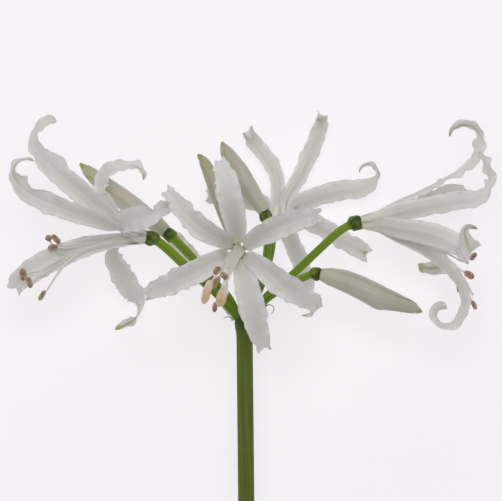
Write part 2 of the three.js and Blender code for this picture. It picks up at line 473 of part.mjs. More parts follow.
// The middle surface of a blade, as rows of points across it.
function bladeSurface(points, widths, facing, firstNormal, phase) {
  const stations = shares(BLADE_STATIONS, BLADE_CROWDING);
  const { line, pointShares } = smoothLine(points, stations);
  const { tangents, normals } = carriedFrames(line, firstNormal);
  const { positions, turns } = faceTurns(points, pointShares, facing, firstNormal);
  return line.map((centre, i) => {
    const s = stations[i];
    const turn = reading(s, positions, turns);
    const across = tangents[i].clone().cross(normals[i]);
    const normal = normals[i].clone()
      .multiplyScalar(Math.cos(turn))
      .addScaledVector(across, Math.sin(turn));
    const side = tangents[i].clone().cross(normal);
    const half = reading(s, pointShares, widths) / 2;
    const cup = CUP * half * (1 - CUP_LOST * ease(s, 0.3, 0.75));
    return BLADE_ACROSS.map((v) => {
      const edge = Math.abs(v) ** RIPPLE_TO_EDGE * ease(s, 0.25, 0.5) * (1 - ease(s, 0.9, 1));
      const wave = Math.sin(2 * Math.PI * RIPPLE_WAVES * s + phase + (v > 0 ? MARGIN_OFFSET : 0));
      return centre.clone()
        .addScaledVector(side, half * v)
        .addScaledVector(normal, cup * v * v + RIPPLE * edge * wave);
    });
  });
}

// The same triangles on both faces of a blade, half its thickness out from the middle.
function blade(surface) {
  const rows = surface.length;
  const columns = surface[0].length;
  const within = (k, count) => THREE.MathUtils.clamp(k, 0, count - 1);
  const at = (i, j) => surface[within(i, rows)][within(j, columns)];
  const inner = [];
  const outer = [];
  for (let i = 0; i < rows; i += 1) {
    for (let j = 0; j < columns; j += 1) {
      const along = at(i + 1, j).clone().sub(at(i - 1, j));
      const across = at(i, j + 1).clone().sub(at(i, j - 1));
      const normal = across.cross(along).normalize();
      inner.push(at(i, j).clone().addScaledVector(normal, BLADE_THICKNESS / 2));
      outer.push(at(i, j).clone().addScaledVector(normal, -BLADE_THICKNESS / 2));
    }
  }
  const half = rows * columns;
  const faces = [];
  for (let i = 0; i < rows - 1; i += 1) {
    for (let j = 0; j < columns - 1; j += 1) {
      const a = i * columns + j;
      const c = a + columns;
      faces.push([a, a + 1, c + 1], [a, c + 1, c]);
      faces.push([half + a, half + c + 1, half + a + 1], [half + a, half + c, half + c + 1]);
    }
  }
  const rim = [];
  for (let j = 0; j < columns - 1; j += 1) {
    rim.push(j);
  }
  for (let i = 0; i < rows - 1; i += 1) {
    rim.push(i * columns + columns - 1);
  }
  for (let j = columns - 1; j > 0; j -= 1) {
    rim.push((rows - 1) * columns + j);
  }
  for (let i = rows - 1; i > 0; i -= 1) {
    rim.push(i * columns);
  }
  rim.forEach((a, k) => {
    const b = rim[(k + 1) % rim.length];
    faces.push([a, half + a, half + b], [a, half + b, b]);
  });
  return solid(inner.concat(outer), faces);
}

// A closed solid from points and triangles, turned right side out.
function solid(vertices, faces) {
  const vertProperties = new Float32Array(vertices.flatMap((v) => [v.x, v.y, v.z]));
  const volume = faces.reduce((sum, [a, b, c]) => (
    sum + vertices[a].dot(vertices[b].clone().cross(vertices[c]))), 0);
  const outward = volume > 0 ? faces : faces.map(([a, b, c]) => [a, c, b]);
  const triVerts = new Uint32Array(outward.flat());
  return new wasm.Manifold(new wasm.Mesh({ numProp: 3, vertProperties, triVerts }));
}

// One solid out of many. Small hollows shut in between the pieces are filled.
function fuse(solids) {
  const whole = solids.reduce((sum, next) => sum.add(next)).simplify(SIMPLIFY_WITHIN);
  const shells = whole.decompose();
  return shells.reduce((largest, next) => (next.volume() > largest.volume() ? next : largest));
}

// A point near the foot of a flower, a way along its axis and out from it.
function seat(bloom, degrees, along, out) {
  const axis = new THREE.Vector3(...bloom.axis).normalize();
  const up = new THREE.Vector3(0, 1, 0).addScaledVector(axis, -axis.y).normalize();
  const beside = axis.clone().cross(up);
  const angle = THREE.MathUtils.degToRad(degrees);
  const outward = up.multiplyScalar(Math.cos(angle)).addScaledVector(beside, Math.sin(angle));
  const point = place(...bloom.base).addScaledVector(axis, along).addScaledVector(outward, out);
  return { point, outward };
}

function tepal(bloom, [degrees, ...rows], index) {
  const foot = seat(bloom, degrees, TEPAL_ROOT.along, TEPAL_ROOT.out);
  const throat = seat(bloom, degrees, TEPAL_THROAT.along, TEPAL_THROAT.out);
  const points = [foot.point, throat.point, ...rows.map(([x, y, z]) => place(x, y, z))];
  const widths = [TEPAL_ROOT.width, TEPAL_THROAT.width, ...rows.map((row) => row[3])];
  const facing = [null, null, ...rows.map((row) => row[4])];
  const inward = foot.outward.negate();
  return blade(bladeSurface(points, widths, facing, inward, bloom.phase + PHASE_STEP * index));
}

function thread(points, radius) {
  const radii = points.map(() => radius);
  return sweep(points, radii, shares(FILAMENT_STATIONS), FILAMENT_SIDES);
}

// A filament out of the throat with a pollen sac lying across its end.
function stamen(bloom, [through, sac, direction, length, thickness], index) {
  const root = seat(bloom, 60 * index + 30, FILAMENT_ROOT.along, FILAMENT_ROOT.out).point;
  const middle = place(...sac);
  const filament = thread([root, ...through.map((p) => place(...p)), middle], FILAMENT_RADIUS);
  const way = new THREE.Vector3(...direction).normalize();
  const sacPoints = SAC_SHARES.map((share) => middle.clone().addScaledVector(way, share * length));
  const sacRadii = SAC_FULLNESS.map((fullness) => fullness * thickness);
  return filament.add(sweep(sacPoints, sacRadii, shares(SAC_STATIONS), SAC_SIDES));
}

function style(bloom) {
  const root = seat(bloom, 0, FILAMENT_ROOT.along, 0).point;
  return thread([root, ...bloom.style.map((p) => place(...p))], STYLE_RADIUS);
}

function wholeBloom(name) {
  const bloom = BLOOMS[name];
  const foot = seat(bloom, 0, 0, 0).point;
  const mouth = seat(bloom, 0, TUBE_LENGTH, 0).point;
  return fuse([
    sweep([foot, mouth], [TUBE_RADIUS, TUBE_MOUTH_RADIUS], shares(3), TUBE_SIDES),
    ...bloom.tepals.map((rows, i) => tepal(bloom, rows, i)),
    ...bloom.stamens.map((rows, i) => stamen(bloom, rows, i)),
    style(bloom),
  ]);
}

// Where a flower or bud sits on its stalk: its foot, the way it grows and its radius there.
function footing(name) {
  if (BLOOMS[name]) {
    const bloom = BLOOMS[name];
    const way = new THREE.Vector3(...bloom.axis).normalize();
    return { foot: place(...bloom.base), way, radius: TUBE_RADIUS };
  }
  const [first, second] = BUDS[name];
  const foot = place(...first);
  const way = place(...second).sub(foot).normalize();
  return { foot, way, radius: first[3] / 2 };
}

// Keeps what lies beyond the plane through the foot, a way along the growing direction.
function keepBeyond(body, { foot, way }, along) {
  return body.trimByPlane([way.x, way.y, way.z], way.dot(foot) + along);
}

function keepBelow(body, { foot, way }, along) {
  return body.trimByPlane([-way.x, -way.y, -way.z], -way.dot(foot) - along);
}

function stalk(name) {
  const { start, rows } = STALKS[name];
  const seatedOn = footing(name);
  const out = new THREE.Vector3(...start).normalize();
  const foot = STEM_TOP.clone().addScaledVector(out, STALK_START);
  const end = seatedOn.foot.clone().addScaledVector(seatedOn.way, PIECE_GAP);
  const points = [foot, ...rows.map(([x, y, z]) => place(x, y, z)), end];
  const radii = [STALK_FOOT_RADIUS, ...rows.map((row) => row[3]), seatedOn.radius];
  const body = sweep(points, radii, shares(STALK_STATIONS, STALK_CROWDING), STALK_SIDES);
  return keepBelow(body, seatedOn, -PIECE_GAP);
}

function bud(name) {
  const rows = BUDS[name];
  const seatedOn = footing(name);
  const foot = seatedOn.foot.clone().addScaledVector(seatedOn.way, -PIECE_GAP);
  const points = [foot, ...rows.slice(1).map(([x, y, z]) => place(x, y, z))];
  const radii = rows.map((row) => row[3] / 2);
  const body = sweep(points, radii, shares(BUD_STATIONS), BUD_SIDES, BUD_LOBES);
  return keepBeyond(body, seatedOn, 0);
}

// The long bare stem with its rounded top, where the stalks leave it.
function stem() {
  const points = STEM_BEND.map(({ share, x, z }) => (
    new THREE.Vector3(x, STEM_TOP.y - share * STEM_LENGTH, z)));
  points.push(STEM_TOP);
  const shaft = sweep(points, points.map(() => STEM_RADIUS), shares(STEM_STATIONS), STEM_SIDES);
  const head = new THREE.SphereGeometry(STEM_TOP_RADIUS, STEM_SIDES, STEM_TOP_BANDS);
  const positions = head.getAttribute('position');
  const vertices = [];
  const order = [];
  for (let i = 0; i < positions.count; i += 1) {
    const point = new THREE.Vector3().fromBufferAttribute(positions, i).add(STEM_TOP);
    const same = vertices.findIndex((v) => v.distanceTo(point) < SAME_POINT);
    order.push(same < 0 ? vertices.length : same);
    if (same < 0) {
      vertices.push(point);
    }
  }
  const faces = [];
  for (let i = 0; i < head.index.count; i += 3) {
    faces.push([0, 1, 2].map((k) => order[head.index.getX(i + k)]));
  }
  return shaft.add(solid(vertices, faces));
}

function drySheath() {
  const points = DRY_SHEATH.map(([x, y, z]) => place(x, y, z));
  const widths = DRY_SHEATH.map((row) => row[3]);
  const facing = DRY_SHEATH.map((row) => row[4]);
  return blade(bladeSurface(points, widths, facing, new THREE.Vector3(0, 0, 1), 0));
}

function dryThread(rows) {
  const points = rows.map((row) => place(...row));
  const radii = points.map(() => DRY_THREAD_RADIUS);
  return sweep(points, radii, shares(DRY_THREAD_STATIONS), DRY_THREAD_SIDES);
}

const solids = { stem: [stem(), 'stem'] };
for (const name of Object.keys(STALKS)) {
  solids[`stalk_${name}`] = [stalk(name), 'stalk'];
}
for (const name of Object.keys(BLOOMS)) {
  solids[`bloom_${name}`] = [wholeBloom(name), 'petal'];
}
for (const name of Object.keys(BUDS)) {
  solids[name] = [bud(name), 'bud'];
}
solids.dry_sheath = [drySheath(), 'dry'];
for (const [name, rows] of Object.entries(DRY_THREADS)) {
  solids[name] = [dryThread(rows), 'dry'];
}

// Laid on its back, with its lowest places at Z = 0 and its outline centred on X and Y.
const lying = new THREE.Matrix4().makeRotationFromEuler(new THREE.Euler(
  THREE.MathUtils.degToRad(LYING_TILT),
  THREE.MathUtils.degToRad(LYING_ROLL),
  0,
));

const nerine = new THREE.Group();
nerine.name = 'nerine';
const whole = new THREE.Box3();
for (const [name, [body, slot]] of Object.entries(solids)) {
  const { numProp, vertProperties, triVerts } = body.getMesh();
  const geometry = new THREE.BufferGeometry();
  geometry.setAttribute('position', new THREE.BufferAttribute(vertProperties, numProp));
  geometry.setIndex(new THREE.BufferAttribute(triVerts, 1));
  geometry.applyMatrix4(lying);
  geometry.computeBoundingBox();
  whole.union(geometry.boundingBox);
  const { colour, roughness } = COLOURS[slot];
  const material = new THREE.MeshStandardMaterial({ color: colour, roughness, metalness: 0 });
  const mesh = new THREE.Mesh(geometry, material);
  mesh.name = name;
  nerine.add(mesh);
}
const middle = whole.getCenter(new THREE.Vector3());
for (const mesh of nerine.children) {
  mesh.geometry.translate(-middle.x, -middle.y, -whole.min.z);
  mesh.geometry.computeVertexNormals();
}

export default nerine;
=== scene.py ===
import math

import bpy
import numpy as np
from mathutils import Matrix, Vector


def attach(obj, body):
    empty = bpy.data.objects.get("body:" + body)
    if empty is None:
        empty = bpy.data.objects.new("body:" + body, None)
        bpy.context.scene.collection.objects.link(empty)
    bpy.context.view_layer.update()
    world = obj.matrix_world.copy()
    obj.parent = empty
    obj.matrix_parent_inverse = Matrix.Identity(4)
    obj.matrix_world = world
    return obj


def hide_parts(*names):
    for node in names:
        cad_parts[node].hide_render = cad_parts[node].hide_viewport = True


# A cut white nerine lying on its back on a pale floor, seen straight down on its head.
# Shapes are worked out in millimetres, x to the right, y up along the stem and z to the
# viewer, from the point where the stalks meet. layDown takes them to the frame, in metres.

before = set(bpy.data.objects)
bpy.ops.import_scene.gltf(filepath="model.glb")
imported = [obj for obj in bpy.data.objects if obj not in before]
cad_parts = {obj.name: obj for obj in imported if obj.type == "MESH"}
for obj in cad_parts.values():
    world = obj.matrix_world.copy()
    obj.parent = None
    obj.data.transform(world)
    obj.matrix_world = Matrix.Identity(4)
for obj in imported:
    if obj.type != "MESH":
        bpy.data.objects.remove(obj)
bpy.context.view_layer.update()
scene = bpy.context.scene
scene.view_settings.view_transform = "Standard"

sight = {"distance": 1500.0, "middle": (3.0, 23.9), "width": 185.74}
lying = {"tilt": 7.43, "roll": 0.43, "shift": (-3.28975, 121.77968, 45.04917)}


def lyingTurn():
    a, b = math.radians(lying["tilt"]), math.radians(lying["roll"])
    turnX = np.array([[1, 0, 0], [0, math.cos(a), -math.sin(a)], [0, math.sin(a), math.cos(a)]])
    turnY = np.array([[math.cos(b), 0, math.sin(b)], [0, 1, 0], [-math.sin(b), 0, math.cos(b)]])
    return turnX @ turnY


def layDown(points):
    return (np.asarray(points, float) @ lyingTurn().T + lying["shift"]) * 0.001


def truePlace(points):  # rows are read as seen, and nearer things are seen larger
    p = np.array(points, float)
    middle = np.array(sight["middle"])
    p[..., :2] = middle + (p[..., :2] - middle) * (1 - p[..., 2:3] / sight["distance"])
    return p


def places(rows):  # the true x, y and z of rows that hold more than these
    return truePlace([row[:3] for row in rows])


def unit(v):
    v = np.asarray(v, float)
    return v / np.maximum(np.linalg.norm(v, axis=-1, keepdims=True), 1e-12)


def ease(x, low, high):  # 0 below low, 1 above high, smooth between them
    t = np.clip((x - low) / (high - low), 0, 1)
    return t * t * (3 - 2 * t)


def bump(x, middle, width):  # 1 at the middle, falling to nothing as a bell
    return np.exp(-((x - middle) / width) ** 2)


def smoothLine(points, shares, fine=40):
    # A centripetal spline: between two points it is a cubic whose end slopes come from
    # the neighbours, each step weighed by the square root of its length.
    p = np.asarray(points, float)
    q = np.vstack([2 * p[0] - p[1], p, 2 * p[-1] - p[-2]])
    a, b, c, d = q[:-3], q[1:-2], q[2:-1], q[3:]
    root = [np.maximum(np.linalg.norm(v, axis=1) ** 0.5, 1e-4)[:, None] for v in (b - a, c - b, d - c)]
    m1 = ((b - a) / root[0] - (c - a) / (root[0] + root[1]) + (c - b) / root[1]) * root[1]
    m2 = ((c - b) / root[1] - (d - b) / (root[1] + root[2]) + (d - c) / root[2]) * root[1]
    u = np.linspace(0, 1, fine + 1)[:-1][None, :, None]
    a, b, c, d = (v[:, None] for v in (b, m1, 3 * (c - b) - 2 * m1 - m2, 2 * (b - c) + m1 + m2))
    line = np.vstack([(a + b * u + c * u**2 + d * u**3).reshape(-1, 3), p[-1:]])
    length = np.concatenate([[0], np.cumsum(np.linalg.norm(np.diff(line, axis=0), axis=1))])
    pointShares = length[::fine] / length[-1]
    at = np.asarray(shares) * length[-1]
    return np.stack([np.interp(at, length, line[:, k]) for k in range(3)], 1), pointShares, length[-1]


def firstSide(line):  # the one of x and y that the line leaves more squarely
    run = np.abs(line[1] - line[0])
    return (1, 0, 0) if run[0] < run[1] else (0, 1, 0)


def carriedFrames(line, first):
    # The first normal is carried from station to station and kept square to the line.
    tangents = unit(np.gradient(line, axis=0))
    normals = np.zeros_like(line)
    normal = np.asarray(first, float)
    for k, tangent in enumerate(tangents):
        normal = unit(normal - (normal @ tangent) * tangent)
        normals[k] = normal
    return tangents, normals


def ringed(line, tangents, normals, angle, radius):
    # From each point of the line, radius times the cosine along the normal plus radius
    # times the sine along what is square to both.
    across = np.cross(tangents, normals)[:, None]
    out = normals[:, None] * np.cos(angle)[..., None] + across * np.sin(angle)[..., None]
    return line[:, None] + out * radius[..., None]


def softened(values, reach):  # each value becomes the mean of its neighbours, nearer ones counting more
    weights = np.hanning(2 * reach + 3)[1:-1]
    return np.convolve(np.pad(values, reach, mode="edge"), weights / weights.sum(), "valid")


def gridQuads(rows, columns, closed=False):
    lastColumn = columns if closed else columns - 1
    i, j = np.meshgrid(np.arange(rows - 1) * columns, np.arange(lastColumn), indexing="ij")
    k = (j + 1) % columns
    return np.stack([i + j, i + k, i + columns + k, i + columns + j], -1).reshape(-1, 4)


def sheetPart(grid, thickness, v, s, tint):
    # Two faces, each half the thickness out from the middle surface, and a rim between.
    # where holds the place across, the share along and the face (1 inner, -1 outer).
    rows, columns = grid.shape[:2]
    normals = unit(np.cross(np.gradient(grid, axis=1), np.gradient(grid, axis=0)))
    normals = normals * thickness[..., None] / 2
    quads = gridQuads(rows, columns)
    count = rows * columns
    order = np.arange(count).reshape(rows, columns)
    rim = np.concatenate([order[0, :-1], order[:-1, -1], order[-1, :0:-1], order[:0:-1, 0]])
    after = np.roll(rim, -1)
    sides = np.stack([rim, rim + count, after + count, after], -1)
    face = np.repeat([1.0, -1.0], count)
    where = np.tile(np.stack(np.broadcast_arrays(v, s), -1).reshape(-1, 2), (2, 1))
    return {"points": np.concatenate([(grid + normals).reshape(-1, 3), (grid - normals).reshape(-1, 3)]),
            "quads": np.concatenate([quads, quads[:, ::-1] + count, sides]), "tris": np.zeros((0, 3), int),
            "where": np.column_stack([where, face]), "tint": np.full(2 * count, tint)}


def tubePart(points, radii, stations, sides, shape=None, first=None, tint=0.0, crowd=1.0):
    # A closed tube: radius at each station times its shape at each angle, with its ends
    # drawn together on the line. where holds the cosine and sine of the angle and the share.
    shares = 1 - (1 - np.linspace(0, 1, stations)) ** crowd
    line, pointShares, _ = smoothLine(points, shares)
    tangents, normals = carriedFrames(line, firstSide(line) if first is None else first)
    angle = np.linspace(0, 2 * np.pi, sides, endpoint=False)[None, :]
    s = shares[:, None]
    radius = np.interp(shares, pointShares, radii)[:, None] * np.ones_like(angle)
    if shape:
        radius = radius * shape(angle, s)
    grid = ringed(line, tangents, normals, angle, radius)
    where = np.stack(np.broadcast_arrays(np.cos(angle), np.sin(angle), s), -1)
    count = stations * sides
    ring = np.arange(sides)
    last = count - sides + ring
    tris = np.concatenate([np.stack([np.roll(ring, -1), ring, np.full(sides, count)], -1),
                           np.stack([last, np.roll(last, -1), np.full(sides, count + 1)], -1)])
    return {"points": np.concatenate([grid.reshape(-1, 3), line[:1], line[-1:]]),
            "quads": gridQuads(stations, sides, closed=True), "tris": tris,
            "where": np.concatenate([where.reshape(-1, 3), [[0, 0, 0]], [[0, 0, 1]]]),
            "tint": np.full(count + 2, tint)}


def asOuterFace(part, across, share):  # a tube that is coloured like a blade's outer face
    ones = np.ones(len(part["points"]))
    part["where"] = np.column_stack([across * ones, part["where"][:, 2] * share, -ones])
    return part


def signedVolume(part):  # sum over the triangles of corner a times the cross of b and c
    q, t, p = part["quads"], part["tris"], part["points"] - part["points"].mean(0)
    corners = np.concatenate([q[:, [0, 1, 2]], q[:, [0, 2, 3]], t])
    return np.einsum("ij,ij->i", p[corners[:, 0]], np.cross(p[corners[:, 1]], p[corners[:, 2]])).sum()


def makePiece(node, kind, parts, material):
    # Parts are gathered into one mesh, laid down, and given their attributes.
    name = node + "_" + kind
    points, where, tint = (np.concatenate([part[key] for part in parts])
                           for key in ("points", "where", "tint"))
    faces, start = [], 0
    for part in parts:
        inward = signedVolume(part) < 0
        for key in ("quads", "tris"):
            found = part[key] + start
            faces += (found[:, ::-1] if inward else found).tolist()
        start += len(part["points"])
    mesh = bpy.data.meshes.new(name)
    mesh.from_pydata(layDown(points).tolist(), [], faces)
    mesh.polygons.foreach_set("use_smooth", np.ones(len(mesh.polygons), bool))
    for label, form, key, values in (("where", "FLOAT_VECTOR", "vector", where),
                                     ("tint", "FLOAT", "value", tint)):
        mesh.attributes.new(label, form, "POINT").data.foreach_set(key, values.astype(np.float32).ravel())
    mesh.materials.append(material)
    mesh.update()
    piece = bpy.data.objects.new(name, mesh)
    scene.collection.objects.link(piece)
    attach(piece, "root")
    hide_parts(node)


class Painter:
    # A shader tree under way. Each method adds nodes and gives back what comes out of them.
    def __init__(self, tree):
        self.tree = tree

    def add(self, kind, inputs, output=0, **settings):  # an input is a constant or another node's output
        node = self.tree.nodes.new("ShaderNode" + kind)
        for label, value in settings.items():
            setattr(node, label, value)
        for label, value in inputs.items():
            if isinstance(value, bpy.types.NodeSocket):
                self.tree.links.new(value, node.inputs[label])
            else:
                node.inputs[label].default_value = value
        return node.outputs[output]

    def maths(self, operation, *values):
        return self.add("Math", dict(enumerate(values)), operation=operation)

    def times(self, first, *others):
        for other in others:
            first = self.maths("MULTIPLY", first, other)
        return first

    def spread(self, value, low, high, toLow=0.0, toHigh=1.0):  # smooth step from low to high
        ends = {"From Min": low, "From Max": high, "To Min": toLow, "To Max": toHigh}
        return self.add("MapRange", {"Value": value, **ends}, "Result", interpolation_type="SMOOTHSTEP")

    def mixed(self, under, over, mask):  # the colour under, with over laid on it where the mask says
        under, over = ((*colour, 1.0) if isinstance(colour, tuple) else colour for colour in (under, over))
        return self.add("Mix", {0: mask, 6: under, 7: over}, 2, data_type="RGBA")

    def noise(self, vector, scale, **values):
        return self.add("TexNoise", {"Vector": vector, "Scale": scale, **values}, "Fac")

    def shared(self, group, vector, **values):
        return self.add("Group", {"Vector": vector, **values}, node_tree=group)


def newGroup(name, output, **values):  # it takes a vector and numbers, each with its usual value
    tree = bpy.data.node_groups.new(name, "ShaderNodeTree")
    tree.interface.new_socket("Vector", in_out="INPUT", socket_type="NodeSocketVector")
    for label, value in values.items():
        tree.interface.new_socket(label, in_out="INPUT", socket_type="NodeSocketFloat").default_value = value
    tree.interface.new_socket(output, in_out="OUTPUT", socket_type="NodeSocketFloat")
    given, out = tree.nodes.new("NodeGroupInput"), tree.nodes.new("NodeGroupOutput")
    return tree, Painter(tree), given.outputs, out.inputs[output]


def growthLinesGroup():
    # Fine lines along the growth: noise squeezed across the blade and stretched along it.
    # The first place across wanders with the share along.
    tree, paint, given, out = newGroup("growthLines", "Mask", Lines=9.0, Stretch=1.5, Wander=0.3)
    x, y, z = paint.add("SeparateXYZ", {0: given["Vector"]}).node.outputs
    x = paint.maths("ADD", x, paint.times(z, given["Wander"]))
    vector = paint.add("CombineXYZ", {0: paint.times(x, given["Lines"]), 1: paint.times(y, given["Lines"]),
                                      2: paint.times(z, given["Stretch"])})
    tree.links.new(paint.spread(paint.noise(vector, 1.0, Detail=3.0, Roughness=0.6), 0.32, 0.68), out)
    return tree


def softPatchesGroup():
    # Soft blotches over the surface: slow noise, pushed apart between Low and High.
    tree, paint, given, out = newGroup("softPatches", "Mask", Scale=80.0, Low=0.4, High=0.6)
    noise = paint.noise(given["Vector"], given["Scale"], Detail=2.0)
    tree.links.new(paint.spread(noise, given["Low"], given["High"]), out)
    return tree


def cellGrainGroup():
    # The sparkle of swollen cells: small rounded cells with a little noise over them.
    tree, paint, given, out = newGroup("cellGrain", "Height", Cells=6000.0)
    cells = paint.add("TexVoronoi", {"Vector": given["Vector"], "Scale": given["Cells"]}, "Distance",
                      feature="SMOOTH_F1")
    noise = paint.noise(given["Vector"], paint.times(given["Cells"], 0.25), Detail=2.0)
    tree.links.new(paint.maths("SUBTRACT", noise, paint.times(cells, 0.6)), out)
    return tree


growthLines = growthLinesGroup()
softPatches = softPatchesGroup()
cellGrain = cellGrainGroup()


class Skin(Painter):
    # A material under way: what it reads at each point, and the colour laid down so far.
    # Blades (their looks have a shift) keep across, along and face in where; tubes keep the
    # cosine and sine of the angle and the share along.
    def __init__(self, name, look):
        self.material = bpy.data.materials.new(name)
        self.material.use_nodes = True
        super().__init__(self.material.node_tree)
        self.look, self.colour = look, look["under"]
        self.shader = self.tree.nodes["Principled BSDF"].inputs
        for label, value in look["shader"].items():
            self.shader[label].default_value = value
        where = self.add("Attribute", {}, "Vector", attribute_name="where")
        tint = self.add("Attribute", {}, "Fac", attribute_name="tint")
        a, b, c = self.add("SeparateXYZ", {0: where}).node.outputs
        place = self.add("TexCoord", {}, "Object")
        blade = "shift" in look
        vector = self.add("CombineXYZ", {0: a, 1: self.times(tint, look["shift"]), 2: b}) if blade else where
        self.read = {"across": self.maths("ABSOLUTE", a), "along": b if blade else c, "face": c,
                     "tint": tint, "vector": vector}
        for label, group, at in (("lines", growthLines, vector), ("fine", growthLines, vector),
                                 ("patches", softPatches, place), ("grain", cellGrain, place)):
            if label in look:
                self.read[label] = self.shared(group, at, **look[label])

    def mask(self, name, *masks):
        # The masks times the layer's strength and its bands, each a smooth step over across,
        # along, face or tint.
        layer = self.look[name]
        bands = [self.spread(self.read[key], *layer[key])
                 for key in ("across", "along", "face", "tint") if key in layer]
        masks = [self.read[mask] if isinstance(mask, str) else mask for mask in masks]
        return self.times(*masks, *bands, layer.get("strength", 1.0))

    def lay(self, name, *masks):  # a colour of the look goes over the rest where its mask says
        self.colour = self.mixed(self.colour, self.look[name]["colour"], self.mask(name, *masks))

    def finish(self):
        # Each bump is a height, its depth in metres and its strength; they add up in order.
        self.tree.links.new(self.colour, self.shader["Base Color"])
        before = {}
        for height, depth, strength in self.look["bumps"]:
            inputs = {"Height": self.read[height], "Distance": depth, "Strength": strength, **before}
            before = {"Normal": self.add("Bump", inputs)}
        if before:
            self.tree.links.new(before["Normal"], self.shader["Normal"])
        return self.material


petalLook = {
    "shader": {"Roughness": 0.5, "Subsurface Weight": 0.5, "Subsurface Scale": 0.0006,
               "Subsurface Radius": (1.0, 0.95, 0.85), "Specular IOR Level": 0.3},
    "under": (0.86, 0.85, 0.84), "shift": 7.0,
    "lines": {"Lines": 9.0, "Stretch": 1.2, "Wander": 0.4},
    "patches": {"Scale": 110.0, "Low": 0.42, "High": 0.68}, "grain": {"Cells": 5200.0},
    "vein": {"colour": (0.74, 0.725, 0.705), "strength": 0.25},
    "shadow": {"colour": (0.75, 0.735, 0.715), "strength": 0.35},
    # painted shade: a darker grey down the middle of each blade and towards its foot, so the margins stay
    # lighter
    "paintedMidShade": {"colour": (0.70, 0.685, 0.655), "across": (0.95, 0.35), "along": (0.85, 0.3, 0.2, 0.9)},
    "keel": {"colour": (0.78, 0.77, 0.66), "across": (0.22, 0.03), "along": (0.75, 0.15),
             "face": (0.2, -0.8, 0.12, 0.28)},
    "throat": {"colour": (0.88, 0.88, 0.74), "along": (0.22, 0.03), "strength": 0.85},
    "rib": {"across": (0.40, 0.06), "along": (0.72, 0.93), "strength": 0.9},
    "tip": {"colour": (0.42, 0.42, 0.07), "reach": (0.95, 0.995)},
    # painted shade: a darker grey line along both margins, from past the claw to the tip
    "paintedEdgeShade": {"colour": (0.60, 0.59, 0.58), "across": (0.90, 1.0), "along": (0.15, 0.4), "strength": 0.55},
    "crimps": {"Lines": 1.3, "Stretch": 19.0, "Wander": 0.0}, "crimped": {"across": (0.35, 1.0)},
    "bumps": [("crimps", 0.0006, 0.75), ("lines", 0.00014, 0.55), ("grain", 0.00003, 0.35)],
}


def petalMaterial():  # tint is how green the tip grows
    skin = Skin("petal", petalLook)
    read = skin.read
    skin.lay("vein", "lines")
    skin.lay("shadow", "patches")
    # the first of these is painted shade over the blade's middle and foot; keel and throat are the petal's
    # own colours
    for name in ("paintedMidShade", "keel", "throat"):
        skin.lay(name)
    end = skin.spread(read["along"], *petalLook["tip"]["reach"])
    skin.lay("tip", skin.maths("MAXIMUM", skin.mask("rib"), end), "tint")
    # painted shade along the margins, standing in for the shaded curled edges
    skin.lay("paintedEdgeShade")
    crimps = skin.shared(growthLines, read["vector"], **petalLook["crimps"])
    read["crimps"] = skin.mask("crimped", crimps)
    return skin.finish()


stalkLook = {
    "shader": {"Roughness": 0.42, "Specular IOR Level": 0.22}, "under": (0.165, 0.285, 0.005),
    "lines": {"Lines": 2.4, "Stretch": 0.9, "Wander": 0.1},
    "fine": {"Lines": 7.5, "Stretch": 2.5, "Wander": 0.1},
    "patches": {"Scale": 420.0, "Low": 0.4, "High": 0.62}, "grain": {"Cells": 3500.0},
    # light: paler stripes along the stalk, painted lengthwise highlights
    "light": {"colour": (0.295, 0.435, 0.035), "strength": 0.8},
    "deep": {"colour": (0.095, 0.20, 0.003), "strength": 0.45},
    "pod": (0.045, 0.075, 0.009), "podLight": (0.16, 0.215, 0.03), "podEdge": (-0.01, 0.035),
    "foot": {"colour": (0.095, 0.20, 0.003), "along": (0.10, 0.0), "strength": 0.55},
    "bumps": [("fine", 0.00015, 0.5), ("grain", 0.00004, 0.4)],
}


def stalkMaterial():  # tint is the share at which the seed pod starts
    skin, look = Skin("stalk", stalkLook), stalkLook
    # painted highlights: paler stripes along the stalk
    skin.lay("light", "lines")
    skin.lay("deep", "fine")
    podColour = skin.mixed(look["pod"], look["podLight"], skin.read["patches"])
    past = skin.maths("SUBTRACT", skin.read["along"], skin.read["tint"])
    skin.colour = skin.mixed(skin.colour, podColour, skin.spread(past, *look["podEdge"]))
    skin.lay("foot")
    return skin.finish()


stemLook = {
    "shader": {"Roughness": 0.42, "Specular IOR Level": 0.22}, "under": (0.112, 0.16, 0.012),
    "lines": {"Lines": 2.6, "Stretch": 3.0, "Wander": 0.05},
    "fine": {"Lines": 9.0, "Stretch": 14.0, "Wander": 0.02},
    "patches": {"Scale": 60.0, "Low": 0.35, "High": 0.7}, "grain": {"Cells": 2600.0},
    "light": {"colour": (0.19, 0.25, 0.03), "strength": 0.7},
    "deep": {"colour": (0.045, 0.075, 0.005), "strength": 0.5},
    "blotch": {"colour": (0.19, 0.25, 0.03), "strength": 0.25},
    "top": {"colour": (0.045, 0.075, 0.005), "along": (0.975, 0.992), "strength": 0.75},
    "pith": {"colour": (0.60, 0.66, 0.36), "tint": (0.55, 0.75)},
    "bumps": [("fine", 0.0002, 0.5), ("grain", 0.00005, 0.4)],
}


def stemMaterial():  # tint is 1 on the cut face
    skin = Skin("stem", stemLook)
    for name, *masks in (("light", "lines"), ("deep", "fine"), ("blotch", "patches"), ("top",), ("pith",)):
        skin.lay(name, *masks)
    return skin.finish()


